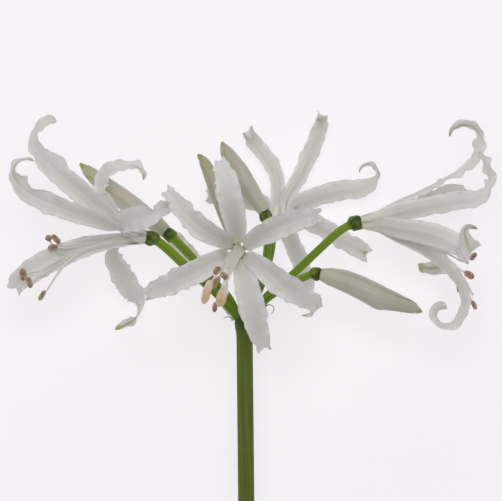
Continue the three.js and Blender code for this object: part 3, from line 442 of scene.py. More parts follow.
budLook = {
    "shader": {"Roughness": 0.45, "Specular IOR Level": 0.3, "Subsurface Weight": 0.25,
               "Subsurface Scale": 0.0012, "Subsurface Radius": (1.0, 0.9, 0.7)},
    "under": (0.63, 0.59, 0.48), "shift": 1.0,
    "lines": {"Lines": 7.0, "Stretch": 1.3, "Wander": 0.3},
    "patches": {"Scale": 90.0, "Low": 0.38, "High": 0.66}, "grain": {"Cells": 4200.0},
    "pale": {"colour": (0.74, 0.71, 0.62), "strength": 0.45},
    "rosy": {"colour": (0.57, 0.49, 0.41), "strength": 0.6},
    "foot": {"colour": (0.60, 0.62, 0.42), "along": (0.30, 0.02), "strength": 0.7},
    "edge": {"colour": (0.40, 0.45, 0.06), "across": (0.78, 0.95), "reach": (0.62, 0.85), "green": 0.9},
    "olive": {"colour": (0.50, 0.48, 0.22), "along": (0.35, 0.9)},
    "tip": {"colour": (0.40, 0.44, 0.05), "reach": (0.94, 1.0), "green": 0.06, "strength": 0.9},
    "bumps": [("lines", 0.00015, 0.5), ("grain", 0.00003, 0.35)],
}


def budMaterial():  # tint is how far down the green of the tip runs
    skin, edge, tip = Skin("bud", budLook), budLook["edge"], budLook["tip"]
    along, tint = skin.read["along"], skin.read["tint"]
    skin.lay("pale", "lines")
    skin.lay("rosy", "patches")
    skin.lay("foot")
    down = skin.maths("MAXIMUM", skin.spread(along, *edge["reach"]), skin.times(tint, edge["green"]))
    skin.lay("edge", down)
    skin.lay("olive", "tint")
    reached = skin.maths("ADD", along, skin.times(tint, tip["green"]))
    skin.lay("tip", skin.spread(reached, *tip["reach"]))
    return skin.finish()


threadLook = {
    "shader": {"Roughness": 0.42, "Subsurface Weight": 0.4, "Subsurface Scale": 0.0003,
               "Subsurface Radius": (1.0, 0.95, 0.85)},
    "under": (0.88, 0.865, 0.81), "lines": {"Lines": 1.8, "Stretch": 3.0, "Wander": 0.2},
    "line": {"colour": (0.78, 0.765, 0.68), "strength": 0.5},
    "green": {"colour": (0.82, 0.82, 0.62), "along": (0.35, 0.02), "strength": 0.7},
    "bumps": [("lines", 0.0001, 0.4)],
}


def threadMaterial():  # filaments and styles: glassy white, greener where they start
    skin = Skin("thread", threadLook)
    skin.lay("line", "lines")
    skin.lay("green")
    return skin.finish()


sacLook = {
    "shader": {"Roughness": 0.65}, "under": (0.76, 0.54, 0.32),
    "patches": {"Scale": 700.0, "Low": 0.38, "High": 0.62}, "grain": {"Cells": 7000.0},
    "sand": {"colour": (0.83, 0.63, 0.41)},
    "pale": {"colour": (0.80, 0.74, 0.66), "along": (0.45, 0.78), "strength": 0.75},
    "dust": (0.60, 0.42, 0.27), "brown": (0.34, 0.21, 0.12),
    "slit": {"colour": (0.13, 0.07, 0.045), "across": (0.34, 0.06), "strength": 0.55},
    "bumps": [("grain", 0.00008, 0.8)],
}


def sacMaterial():  # tint: 0 a long closed sac, 1 a small open one, brown and grainy
    skin, look = Skin("pollenSac", sacLook), sacLook
    skin.lay("sand", "patches")
    skin.lay("pale")
    opened = skin.mixed(look["dust"], look["brown"], skin.read["patches"])
    skin.colour = skin.mixed(skin.colour, opened, skin.read["tint"])
    skin.lay("slit", "tint")
    return skin.finish()


dryLook = {
    "shader": {"Roughness": 0.7, "Subsurface Weight": 0.7, "Subsurface Scale": 0.0008,
               "Subsurface Radius": (1.0, 0.85, 0.65)},
    "under": (0.80, 0.77, 0.72), "shift": 0.0, "lines": {"Lines": 8.0, "Stretch": 2.0, "Wander": 0.5},
    "patches": {"Scale": 260.0, "Low": 0.4, "High": 0.65},
    "light": {"colour": (0.88, 0.87, 0.85)}, "dark": {"colour": (0.36, 0.29, 0.22)},
    "bumps": [("lines", 0.0003, 0.7)],
}


def dryMaterial():  # tint is how dark its patches are
    skin = Skin("drySkin", dryLook)
    skin.lay("light", "lines")
    skin.lay("dark", "patches", "tint")
    return skin.finish()


petalSkin = petalMaterial()
stalkSkin = stalkMaterial()
stemSkin = stemMaterial()
budSkin = budMaterial()
threadSkin = threadMaterial()
sacSkin = sacMaterial()
drySkin = dryMaterial()
print("materials made")

# Each tepal: where it sits round the flower (degrees), then rows of x, y, z, width across
# and, on some rows, the way its inner face looks (degrees from the viewer). Each stamen: the
# points its filament passes, the pollen sac's middle, the way it points, its length and its
# half thickness. Each style: the points it passes.
blooms = {}
blooms["front"] = {
    "base": (-1.7, 23.5, 36), "axis": (-0.02, 0.03, 1),
    "tepals": [
        (0, (-2.1, 28.1, 42, 5.2), (-2.6, 33.5, 48, 7.6), (-4.2, 40.3, 51.5, 9.2, 0), (-5.4, 46, 52, 9.2, 0),
         (-6.5, 51, 50, 8, 0), (-7.8, 54.8, 46.4, 6, 0), (-8.5, 57, 41.2, 4.2), (-8.1, 56.8, 36, 2.8),
         (-7.2, 55, 32.5, 1)),
        (60, (-5.4, 26.2, 42, 4.8), (-8.6, 28.5, 48, 6.6), (-13.4, 31, 51, 8.1, -12),
         (-18.6, 35.2, 51, 8.3, -12), (-22.6, 39.6, 48.5, 6.7, -8), (-26.3, 44, 44, 5, 0),
         (-28.2, 46, 38.5, 4.2), (-27.8, 45.2, 33, 2.8), (-26, 43.5, 29, 1)),
        (120, (-5.9, 21.7, 42, 5), (-8.6, 20.6, 47.5, 7), (-13.2, 18.2, 50, 8.2, 0),
         (-18.6, 15.5, 51, 8.6, 0), (-23.6, 13.1, 50, 8.4, 0), (-28.4, 11, 47.5, 8, 0),
         (-32.8, 9.2, 43.5, 5.8, 0), (-35.8, 7.8, 38, 4.2), (-35.5, 7, 32.5, 2.8), (-33.6, 7, 29, 1.2)),
        (180, (-0.8, 19.1, 42, 5.6), (0.6, 13.8, 47.5, 7.8), (1.8, 9, 50.5, 9.2, 0), (3, 4.4, 52, 9.6, 0),
         (4.2, -0.4, 51.5, 9.4, 0), (5.3, -4.6, 49.8, 8.2, 0), (6.6, -8.6, 47, 6.4, 0), (7.9, -11.9, 42.4, 5),
         (7.8, -11.9, 37, 3.2), (6.9, -10.4, 33.5, 1.4)),
        (240, (2, 21.2, 42, 5.2), (6.6, 18.1, 47.5, 7.2), (10.4, 14.9, 50, 8.6, 8), (14.6, 11.5, 51, 9.4, 8),
         (18.8, 9, 50, 9, 5), (22.2, 7.1, 48, 8, 0), (25.4, 5, 44.5, 6.6, 0), (27.6, 3, 40, 5.2),
         (26.4, 1.2, 36.5, 3.8), (23.8, 0.4, 35, 2.4), (21.6, 0, 35, 0.9)),
        (300, (1.9, 26.2, 42, 5.2), (6.4, 29.5, 48, 7.2), (10.6, 31.5, 51, 8.7, 10),
         (14.6, 33.3, 51.5, 8.7, 10), (18.2, 34.6, 50, 8.3, 8), (21.8, 35.7, 47, 7.4, 0),
         (25, 36.4, 43, 6.2, 0), (27.3, 36.7, 38, 5), (27.2, 36.3, 33, 3), (25.8, 35.8, 29.5, 1.2))],
    "stamens": [
        (((-2.1, 25.2, 40), (-5.2, 21.8, 46), (-7.4, 18.9, 55)), (-9.6, 16.5, 65), (0.45, 0.85, 0.3), 3.4,
         1),
        (((-1.2, 24.6, 40.6), (-4.1, 21, 46.6), (-6, 17.6, 56)), (-7, 14.6, 63), (0.7, -0.7, 0.3), 3.2, 1),
        (((-1.8, 25, 40), (-4.9, 21.5, 46), (-7.5, 17.2, 55), (-10.6, 13.9, 61)), (-13.3, 8.6, 65),
         (0.28, 0.96, 0), 9, 1.3),
        (((0.1, 23.8, 40), (-2.4, 20, 46), (-4.5, 15.6, 54), (-6.2, 11.6, 60)), (-7.8, 6.8, 63),
         (0.3, 0.95, 0), 7.4, 1.6),
        (((-1.5, 24.8, 40.4), (-4.5, 21.3, 46.4), (-6.8, 17.4, 54.6)), (-10.2, 11.9, 62), (0.54, 0.83, 0.2),
         5.4, 1),
        (((-0.4, 24.2, 40.2), (-3.1, 20.4, 46.2), (-5.2, 16.2, 54), (-8.2, 9.2, 60)), (-10.4, 2.9, 62),
         (0.1, 1, 0.1), 3.6, 0.8)],
    "style": ((-0.9, 24.4, 40.2), (-3.7, 20.7, 46.2), (-5.5, 16.4, 55), (-5.8, 8, 64)),
}
blooms["left"] = {
    "base": (-36, 28.9, 6), "axis": (-0.97, 0.1, 0.2),
    "tepals": [
        (0, (-44.6, 33.2, 8, 5.4), (-50.6, 37.9, 10, 6.4, -6), (-55.6, 41.9, 11, 7.9, -12),
         (-60.8, 46.5, 12, 8.5, -12), (-66.4, 51, 12, 8.1, -12), (-71.4, 55.8, 11.5, 8.1, -14),
         (-75.2, 59.8, 11, 7, -30), (-77, 63.4, 10.5, 6, -48), (-76.9, 66.6, 10, 5.4, -54),
         (-75.3, 69.4, 10, 5.3, -50), (-72.6, 71.1, 10, 5.1, -42), (-69, 71.6, 10, 3.4, -40)),
        (-62, (-45, 32.2, 13, 4.8), (-52.5, 34.7, 17, 5.8, 0), (-59, 36.7, 19, 6.6, 0),
         (-66, 39.1, 20, 7.2, 0), (-71.6, 41.4, 20, 8, 0), (-76.5, 43.6, 19.5, 7.4, -5),
         (-80.9, 46.2, 19, 6.8, -22), (-83.6, 49.6, 18.5, 6.2, -36), (-84.9, 53.2, 18, 5.2, -58),
         (-83.6, 56.2, 17.5, 4.2, -70), (-80.6, 57.4, 17, 3.2, -70), (-77.2, 57, 16.5, 1.4, -66)),
        (-100, (-40.6, 30.3, 10.6, 4), (-43.4, 32.1, 15, 5.8), (-45, 33.4, 20, 6.8),
         (-43.6, 34.6, 24, 8.8, 22), (-41, 35.4, 25.8, 10.2, 22), (-37.4, 36.2, 25.8, 9.8, 20),
         (-34.6, 36.6, 25.2, 7.2, 18), (-32, 37.8, 24.4, 5.7, 14), (-29.2, 39.6, 23.2, 5.4, 12),
         (-26.4, 41.4, 21.5, 2.4, 15)),
        (182, (-44.6, 28, 8.4, 5.6, -24), (-52.6, 26.9, 12, 6.4, -16), (-60, 25, 14.5, 7.6, -5),
         (-66, 22.6, 16.5, 8.6, 0), (-71.4, 20.2, 17.5, 9.2, 0), (-76.4, 17.4, 18, 9, 0),
         (-80.6, 14.4, 17.5, 8.4, 0), (-83.6, 11.8, 15, 7), (-84, 10, 10.5, 5), (-82.6, 9.6, 6.5, 2)),
        (120, (-43.8, 27.8, 1, 3.2), (-46.6, 25.3, -4.8, 2), (-47.7, 22.5, -10.8, 6.7, 0),
         (-45.6, 17, -21, 8.4, 0), (-43.4, 12.6, -28, 8.6, 0), (-41, 8.8, -33.5, 7.8, 5),
         (-39.2, 5.2, -38, 6.8, 30), (-38.6, 1.8, -41, 5.8, 70), (-39.8, -1.2, -42.8, 5, 120),
         (-43.2, -3.4, -43.5, 3.8, 150), (-47.2, -5.3, -43.25, 1.2, 160)),
        (60, (-44.4, 33.2, 2, 5), (-47.6, 38.8, 1, 5.2, -40), (-50.6, 43.6, 1, 6, -38),
         (-52.2, 48.4, 2.5, 7, -40), (-50.5, 52.2, 5, 7.4, -45), (-47.4, 54.3, 7.5, 7.2, -48),
         (-43.9, 55.3, 9.8, 6, -50), (-40.8, 55.2, 11.5, 4.8, -50), (-38.2, 54.2, 13, 3.8, -50),
         (-36.6, 52.4, 13.8, 2.6, -46), (-36.9, 50, 14, 0.9, -42))],
    "stamens": [
        (((-54, 26.6, 12.2), (-62, 25.3, 15.7), (-67.5, 24.9, 19.6), (-70.6, 26.2, 23)), (-71.9, 28.5, 25),
         (0.25, 0.35, 0.9), 4, 1.05),
        (((-54, 27, 12.2), (-62, 26.2, 16), (-66.8, 26, 20.8)), (-69.1, 28.1, 25), (-0.62, 0.66, 0.4), 4.4,
         0.9),
        (((-54, 26, 12.2), (-62, 24.2, 15.5), (-67, 22.6, 18.4)), (-70.3, 24.9, 23.5), (0.95, 0.05, 0.3),
         3.9, 1),
        (((-54, 25.6, 12.2), (-62, 23.6, 15.5), (-68, 20.6, 17.5), (-74, 17, 18.9), (-78.5, 16, 21)),
         (-81.4, 15, 22.5), (-0.1, 1, 0.2), 4.6, 1.1),
        (((-54, 25, 12.1), (-62, 22.6, 15.4), (-68, 18.9, 17.5), (-74, 15.2, 19.8)), (-79, 12, 22.5),
         (-0.25, 0.95, 0.2), 4.2, 0.9),
        (((-54, 25, 12.6), (-60, 23, 15), (-65, 19.6, 17.4), (-69, 14.6, 20.5), (-72.2, 9.6, 23)),
         (-74.3, 7.3, 24.5), (-0.5, -0.86, 0.1), 4.2, 0.8)],
    "style": ((-54, 25.6, 12.4), (-62, 22.9, 15.7), (-68, 19.2, 17.9), (-75, 14.4, 21.5)),
}
blooms["right"] = {
    "base": (43.8, 34.3, 2.5), "axis": (0.99, 0.06, 0.05),
    "tepals": [
        (0, (50.5, 38.6, 2, 5.4), (57, 41.9, 1, 5.4, 98), (64, 45, 0, 5.8, 97), (70.5, 48.2, 0, 6, 100),
         (75, 50.6, 0, 6.2, 103), (79, 52.9, 0, 6.2, 109), (83, 55.2, 0, 6.4, 119), (85.4, 57.4, 0, 6.4, 117),
         (86.4, 60, 0, 6.4, 129), (87.2, 63, 0, 6.2, 137), (87.7, 65.8, 0, 5.6, 122), (86.8, 68.5, 0, 5, 116),
         (84.1, 70.2, 0, 4.8, 125), (81, 70.3, 0, 4.4, 133), (78.2, 68.9, 0, 3.2, 122),
         (76.4, 66, 0, 1, 116)),
        (300, (51, 36.8, -4, 5), (58, 38.8, -8, 5.8, 10), (65.5, 40.8, -12, 6.4, 5),
         (72.5, 43.4, -15.5, 7, 0), (78.6, 45.6, -18.5, 6.6, 0), (81.4, 44.4, -22.5, 5.6),
         (81.6, 42.2, -27.5, 4.4), (80.4, 40.6, -30, 2)),
        (60, (51, 36.4, 7.5, 5.8), (58, 38.4, 11, 6.6, 170), (65, 39.8, 13.5, 7, 168),
         (72, 41.2, 15, 7.2, 165), (79, 42.5, 15.5, 7.2, 165), (84.6, 43.2, 15, 7, 165),
         (88.4, 44.6, 14.2, 6.4, 147), (90.4, 47.2, 13.4, 5.4, 118), (91.7, 50, 12.8, 5, 132),
         (91, 53.4, 12.2, 4.8, 120), (89.2, 57, 11.4, 4.6, 126), (86.9, 60.4, 10.5, 1.6, 112)),
        (120, (51, 33.4, 8.5, 6), (57.5, 32.3, 13, 7.4, 172), (64, 31.2, 17, 8.4, 175),
         (70, 29.8, 20, 8.6, 180), (75.4, 27.7, 22.5, 8.6, 180), (80, 25.5, 24.5, 8.6, 182),
         (83.2, 24, 26.2, 8.8, 182), (84.9, 23.2, 28.6, 8.6), (84, 24.3, 30.6, 8), (82.9, 26.4, 31.2, 6.9, 0),
         (82.3, 28.8, 31.4, 4.6, 0), (82, 30.8, 31.4, 3, 0), (82.9, 32.3, 31.2, 2.2), (84.7, 32.5, 31, 1.6),
         (86.8, 31.9, 31, 0.7)),
        (180, (50, 30.9, 3, 5.6), (55.6, 28.2, 4, 6.6, -122), (61.4, 26, 5, 7.4, -130),
         (67.2, 23.2, 6, 7.7, -132), (72.3, 19.6, 7, 7.8, -130), (76.8, 15.2, 7.5, 7.6, -124),
         (80.2, 10.4, 8, 7.4, -117), (81.4, 5, 8, 7.2, -119), (80.2, 0.2, 8, 6.8, -118),
         (77, -3, 8, 6.4, -112), (73.5, -3.1, 8, 5.6, -114), (71.6, -0.5, 8, 5, -116),
         (72.4, 2, 8, 4.8, -128), (75.6, 2.6, 8, 3.4, -135)),
        (240, (51, 31.8, -5, 5.6), (58.5, 28.9, -12.5, 6.8), (66.5, 25.4, -21.5, 7.4), (72.6, 22, -31, 7.4),
         (75, 19.2, -38, 6.8), (72.6, 17.8, -43, 6, 180), (69, 17.4, -45.6, 5, 180),
         (65, 17.9, -46.2, 2.4, 180))],
    "stamens": [
        (((54, 32.6, 1.5), (64, 29, 0), (72, 24.8, 0), (78, 21.6, 3), (81.2, 19.9, 7)), (85.2, 21.7, 12),
         (0.6, 0.75, 0.2), 3.4, 0.85),
        (((54, 32.2, 1), (64, 28, -1), (72, 23.2, -1), (79.2, 17.6, 1)), (83.7, 14.9, 3), (0.8, -0.55, 0.2),
         4.2, 1.1),
        (((54, 31.8, 0), (64, 27.2, -2), (72, 21.8, -2), (79, 14.4, -1), (82.2, 8.2, 2)), (83.4, 4.1, 5),
         (-0.3, -0.95, 0), 3.8, 0.75),
        (((54, 31.8, 1), (64, 27, -1), (72, 21.4, -1), (79.6, 14.4, 0), (83.2, 8.4, 2)), (85.5, 3.7, 4),
         (0.45, -0.9, 0), 3.6, 0.75),
        (((56, 31.4, 1), (66, 28, -1), (74, 24, -2)), (81.5, 22, -2), (0.9, 0.3, 0.1), 4, 0.9),
        (((56, 31, 0), (66, 27, -1.5), (74, 21.6, -3)), (80, 10.2, -4.5), (0.1, -1, 0), 4, 0.9)],
    "style": ((54, 32.2, 2), (64, 28.2, 0), (72, 23, 0), (80.4, 15.6, 1), (85.2, 7.3, 3)),
}
blooms["back"] = {
    "base": (12.6, 33.8, -21), "axis": (0.22, 0.5, -0.84),
    "tepals": [
        (-8, (12.9, 43, -31, 5.4), (12.9, 48.2, -36, 5.4, 180), (12.2, 52.4, -39, 5.6, 180),
         (10.2, 56.4, -41, 5.8, 180), (7.9, 59.6, -41.5, 6, 180), (5.3, 62.6, -41, 5.8, 180),
         (3, 65.6, -38.5, 5.4, 180), (1.8, 68.1, -34, 4), (2.2, 67, -29, 2.4), (3.2, 65.2, -26, 1.2)),
        (35, (16, 43.6, -32, 5), (19, 48, -37, 5.4, 180), (21.6, 52.6, -40.5, 5.8, 180),
         (23.6, 57, -42.5, 6.2, 180), (25.4, 61.2, -43.5, 6.6, 180), (27.3, 65.6, -43, 6, 180),
         (28.6, 69.6, -40.5, 5.6, 180), (29.4, 73.3, -36, 3.9), (29.3, 73.8, -30.5, 2.6),
         (28.2, 71.8, -27, 1.2)),
        (88, (19.6, 41.1, -31, 6), (25.4, 43.1, -36, 7.2, 180), (31, 45, -38.5, 7.4, 180),
         (37, 46.3, -39.5, 7.8, 180), (42.8, 46.8, -39, 7.2, 172), (47, 48.4, -38, 6.2, 145),
         (49.5, 51.2, -37, 5.2, 112), (49.2, 53.9, -36, 4.6, 102), (47, 55.4, -35.5, 4, 100),
         (44.6, 54.8, -35, 3.2, 100), (43, 52.8, -35, 1.2, 100)),
        (142, (18.6, 37.3, -31, 5.6), (23.2, 35.2, -37, 6.6, 180), (28, 33.2, -41, 7.2, 180),
         (33, 30.4, -43.5, 7.2, 180), (37.8, 27.4, -44, 7.2, 180), (42, 25, -42, 7, 180),
         (45.2, 23, -38, 6.2), (45.8, 22.6, -33, 4), (44.8, 23.4, -29, 1.4)),
        (198, (16, 33.6, -31, 5.6), (17.4, 28.8, -37, 6.2, 180), (19.2, 24.6, -41, 6.6, 180),
         (21.2, 20, -43.5, 6.6, 180), (22.8, 15.4, -43.5, 6.2, 180), (23.9, 11.4, -40, 5.4),
         (24, 9.8, -35, 4.2), (23, 10.6, -31, 1.6)),
        (275, (8.6, 40.8, -29, 5.6), (3.2, 42.1, -35, 6.8, 180), (-2.2, 42.9, -38, 7, 180),
         (-7.2, 43.6, -39, 6.4, 180), (-11.2, 44.1, -37, 5.6, 180), (-13, 44.2, -32.5, 4.6),
         (-12.2, 43.8, -28, 2))],
    "stamens": [
        (((12.2, 32.8, -28), (12.3, 31, -33)), (12.3, 28.7, -37), (0, 0.8, 0.6), 3, 0.7),
        (((11.4, 33.2, -28), (8.6, 31.2, -35)), (5.2, 28.8, -41), (0.9, 0.5, 0), 3.8, 0.9),
        (((12, 33, -28), (10.6, 31, -35)), (8.8, 29.2, -41), (0.8, 0.6, 0), 4, 0.9),
        (((11.6, 33.8, -28), (10.2, 32.8, -35)), (8, 31.2, -41.5), (0.9, 0.4, 0), 4, 0.9),
        (((12.6, 33.2, -29), (12.6, 32, -36)), (12, 31, -41.5), (0.9, 0.4, 0), 4, 0.9),
        (((13, 33.6, -29), (14.2, 33, -35)), (15.2, 32.6, -39), (0.9, 0.4, 0.1), 3.8, 0.9)],
    "style": ((12, 33.4, -29), (10.6, 32.4, -36), (8.4, 31.6, -40), (6.6, 30.4, -42)),
}

petal = {
    "stations": 151, "across": 29,
    "root": (0.15, 2.3), "throat": (3.6, 3.15),  # along the axis, out from it
    "clawWidths": {"front": (2.3, 1.7), "left": (2.9, 3.7), "right": (2.9, 3.7), "back": (2.9, 3.7)},
    "thickness": 0.34, "edgeThickness": 0.15, "keel": 0.12,
    "cup": 0.34, "cupLost": 0.66, "groove": 0.28, "tipRound": 1.5, "crisp": 0.7,
    "waves": [(0.66, 12.0), (0.60, 7.0), (0.50, 4.3)],  # how high in mm, how long in mm
    "frills": [(0.28, 10.5), (0.28, 5.8), (0.17, 3.1)],
    "waved": (0.22, 0.5), "calm": (0.94, 1.0),  # the shares over which the waves grow and end
    "waveHalf": 2.4,  # the half width in mm under which they get lower
    "hood": 0.5, "green": 0.1, "seed": 11,
}

# What each tepal has of its own, where it isn't as in petal: how green its tip is, how
# crisped its margins are, and the places its margins are drawn out to (x, y as seen, and
# how far along it is felt, in mm).
tepalLooks = {
    "front": [
        {"green": 0.5, "crisp": 0.9, "pulls": [(-10, 57.4, 2.4), (-7.4, 59.1, 0.7)]},
        {"crisp": 1, "pulls": [(-30.2, 45.6, 1.5), (-28, 48.3, 1.5)]},
        {"green": 0.45, "crisp": 1},
        {"pulls": [(5.8, -14.3, 1.3), (10.5, -12.9, 1.2)]},
        {"green": 0.8, "crisp": 1},
        {"crisp": 1, "pulls": [(29.2, 38.6, 1.7), (29.6, 34.9, 1.7)]},
    ],
    "left": [
        {"green": 0.15, "crisp": 0.6, "pulls": [(-66.4, 58.3, 2.6), (-69.2, 59.8, 1.8)]},
        {"green": 0.8, "crisp": 0.6, "pulls": [(-79.7, 51.4, 2), (-77.6, 46.8, 2), (-86.6, 50.6, 2.2)]},
        {"cup": 0.2, "pulls": [(-33.3, 38.7, 1.1), (-30.9, 42.3, 1)]},
        {"crisp": 0.6, "pulls": [(-87.2, 10.3, 1.8), (-82.9, 7, 1.8)]},
        {"green": 0.9, "crisp": 0.9, "pulls": [(-51.1, 22.2, 1.5), (-44.5, 22.3, 1), (-45.9, 8.7, 1.2),
                                               (-37.4, 10.6, 1.6), (-36.6, 3.8, 1.3)]},
        {"green": 0.6, "crisp": 0.9, "hood": 0.2,
         "pulls": [(-52.3, 45, 1.4), (-54.9, 50.2, 1.5), (-53.3, 53.4, 0.9)]},
    ],
    "right": [
        {"green": 0.75, "crisp": 0.85},
        {},
        {"crisp": 0.75, "pulls": [(93.7, 49.9, 1.4), (91.6, 55.2, 1.7), (88.7, 58.4, 1.2),
                                  (88.7, 52.8, 1.7), (89.3, 50.2, 1.3), (89.6, 47.6, 1.3)]},
        {"green": 0.85, "crisp": 0.5, "cup": 0.3, "cupLost": 0,
         "pulls": [(74.4, 23.9, 2.4), (78.4, 23.1, 2.2)]},
        {"crisp": 0.4, "cup": 0.5, "cupLost": 0.35},
        {"green": 0.6, "crisp": 0.8, "pulls": [(64.7, 18.7, 0.9), (65.8, 15.8, 1)]},
    ],
    "back": [
        {"green": 0.15, "groove": 0.6, "pulls": [(3.4, 70.2, 0.8)]},
        {"green": 0.95, "groove": 0.5, "pulls": [(27.2, 75.6, 0.8)]},
        {"crisp": 0.6},
        {"green": 0.9, "crisp": 0.8, "pulls": [(48, 23.7, 1.5), (45.9, 19.3, 1.5)]},
        {"crisp": 0.6},
        {"pulls": [(-13.2, 46, 1.3), (-13.4, 41.9, 1.3)]},
    ],
}


def seat(bloom, degrees, along, out):  # a point near the flower's foot, and the way out from its axis
    axis = unit(bloom["axis"])
    up = unit(np.array([0.0, 1.0, 0.0]) - axis[1] * axis)
    angle = math.radians(degrees)
    outward = math.cos(angle) * up + math.sin(angle) * np.cross(axis, up)
    return truePlace(bloom["base"]) + along * axis + out * outward, outward


def faceTurns(points, pointShares, facing, first, stations=241):
    # How far the carried normal has to turn at each row so that the face looks as it says.
    tangents, normals = carriedFrames(smoothLine(points, np.linspace(0, 1, stations))[0], first)
    at, turns = [0.0, pointShares[1]], [0.0, 0.0]
    for share, degrees in zip(pointShares, facing):
        if degrees is None:
            continue
        k = int(round(share * (stations - 1)))
        toViewer = unit(np.array([0.0, 0.0, 1.0]) - tangents[k, 2] * tangents[k])
        angle = math.radians(degrees)
        wanted = math.cos(angle) * toViewer + math.sin(angle) * np.cross(tangents[k], toViewer)
        turn = math.atan2(wanted @ np.cross(tangents[k], normals[k]), wanted @ normals[k])
        at.append(share)
        turns.append(turn + 2 * math.pi * round((turns[-1] - turn) / (2 * math.pi)))
    return at, turns


def marginWaves(waves, length, s, random):
    # One row of waves for each margin: sines of several lengths, which swell and fade.
    out = np.zeros((2, len(s)))
    for height, period in waves:
        start, fade = random.uniform(0, 2 * np.pi, (2, 2, 1))
        swell = 0.75 + 0.45 * np.sin(2 * np.pi * s[None] * length / (3.7 * period) + fade)
        out += height * swell * np.sin(2 * np.pi * s[None] * length / period + start)
    return out


def bladeGrid(points, rows, first, own, seed):
    # Across the line go half the width times v; along the normal go a cup of v squared,
    # a groove at the middle, and waves that grow towards the margins.
    look = {**petal, **own}
    random = np.random.default_rng(seed)
    s = np.linspace(0, 1, petal["stations"])
    line, pointShares, length = smoothLine(points, s)
    tangents, normals = carriedFrames(line, first)
    facing = [row[4] if len(row) > 4 else None for row in rows]
    at, turns = faceTurns(points, pointShares, facing, first)
    reach = petal["stations"] // 14
    turn = softened(np.interp(s, at, turns), reach)[:, None]
    normals = np.cos(turn) * normals + np.sin(turn) * np.cross(tangents, normals)
    half = softened(np.interp(s, pointShares, [row[3] for row in rows]), reach // 2) / 2
    half = half * np.sqrt(1 - 0.97 * np.clip(1 - (1 - s) * length / look["tipRound"], 0, 1) ** 2)
    crisp = ease(s, *petal["waved"]) * (1 - ease(s, *petal["calm"])) * np.minimum(1, half / petal["waveHalf"])
    crisp = crisp * look["crisp"]
    waves, frills = (marginWaves(look[key], length, s, random) * crisp for key in ("waves", "frills"))
    v = np.linspace(-1, 1, petal["across"])[None, :]
    s, half = s[:, None], half[:, None]
    side = (v[0] > 0) * 1
    lift = look["cup"] * half * v**2 * (1 - look["cupLost"] * ease(s, 0.3, 0.75))
    lift = lift + look["hood"] * half * v**2 * ease(s, 0.86, 0.97) + np.abs(v) ** 2.4 * waves[side].T
    lift = lift - look["groove"] * bump(v, 0, 0.2) * ease(s, 0.03, 0.15) * (1 - ease(s, 0.8, 1))
    out = half * v + v * np.abs(v) ** 2 * frills[side].T
    sides = np.cross(tangents, normals)
    grid = line[:, None] + sides[:, None] * out[..., None] + normals[:, None] * lift[..., None]
    for x, y, reach in look.get("pulls", []):
        # The nearest margin point goes to x, y as seen, and its neighbours follow as a bell.
        edges = grid[:, [0, -1]]
        moves = truePlace(np.concatenate([np.full(edges[..., :2].shape, (x, y)), edges[..., 2:]], -1)) - edges
        k, hand = np.unravel_index(np.argmin(np.linalg.norm(moves, axis=-1)), moves.shape[:2])
        near = bump((s - s[k]) * length, 0, reach) * ease((2 * hand - 1) * v, 0.15, 1.0) ** 1.4
        grid = grid + near[..., None] * moves[k, hand]
    return grid, s, v


def tepalPart(bloom, tepal, clawWidths, own, seed):
    # The petal is thickest along its keel and at its foot, and thinner towards its margins.
    degrees, *rows = tepal
    foot, outward = seat(bloom, degrees, *petal["root"])
    throat, _ = seat(bloom, degrees, *petal["throat"])
    points = np.vstack([foot, throat, places(rows)])
    grid, s, v = bladeGrid(points, [(0, 0, 0, width) for width in clawWidths] + rows, -outward, own, seed)
    thickness = petal["thickness"] + (petal["edgeThickness"] - petal["thickness"]) * v**2
    thickness = thickness * (1 - 0.35 * s) + petal["keel"] * bump(v, 0, 0.2) * (1 - ease(s, 0.0, 0.8))
    return sheetPart(grid, thickness, v, s, own.get("green", petal["green"]))


thread = {"stations": 60, "sides": 12, "foot": 0.70, "end": 0.32, "style": 1.0, "stigma": 0.34, "knob": 0.16}
sac = {"stations": 26, "sides": 20, "lobes": 0.14, "groove": 0.34, "smallUnder": 6.0}
cup = {"along": (0, 1.0, 2.0, 2.9, 3.5), "radii": (2.1, 2.3, 2.4, 2.1, 1.2), "stations": 13, "sides": 36}


def threadPart(points, foot, end, knob=0.0):
    # The radius shrinks along the line; a knob swells it at the very end.
    shares = np.linspace(0, 1, len(points))
    shape = lambda angle, s: 1 + 0.04 * np.cos(2 * angle + 6 * s) + knob / end * bump(s, 0.985, 0.015)
    radii = foot + (end - foot) * ease(shares, 0.3, 0.8)
    return tubePart(points, radii, thread["stations"], thread["sides"], shape)


def sacPart(middle, direction, length, thickness):
    # Two lobes side by side: the radius swells at either side and dips at front and back.
    way = unit(direction)
    t = np.linspace(-0.5, 0.5, 13)
    bend = np.cross(way, unit(np.cross(way, (0.3, 0.2, 1.0))))
    points = middle + way * (t * length)[:, None] + bend * (0.10 * length * (4 * t**2 - 0.3))[:, None]
    radii = thickness * np.maximum(1 - np.abs(2 * t) ** 3.2, 0.02) ** 0.5
    small = length < sac["smallUnder"]

    def shape(angle, s):
        dip = bump(np.cos(angle), 0, 0.28) * (1 - 0.4 * small)
        return 1 + sac["lobes"] * np.cos(2 * angle) - sac["groove"] * dip + 0.05 * np.sin(3 * angle + 9 * s)

    front = unit(np.cross(way, (0.0, 0.0, 1.0)))
    return tubePart(points, radii, sac["stations"], sac["sides"], shape, front, 1.0 if small else 0.0)


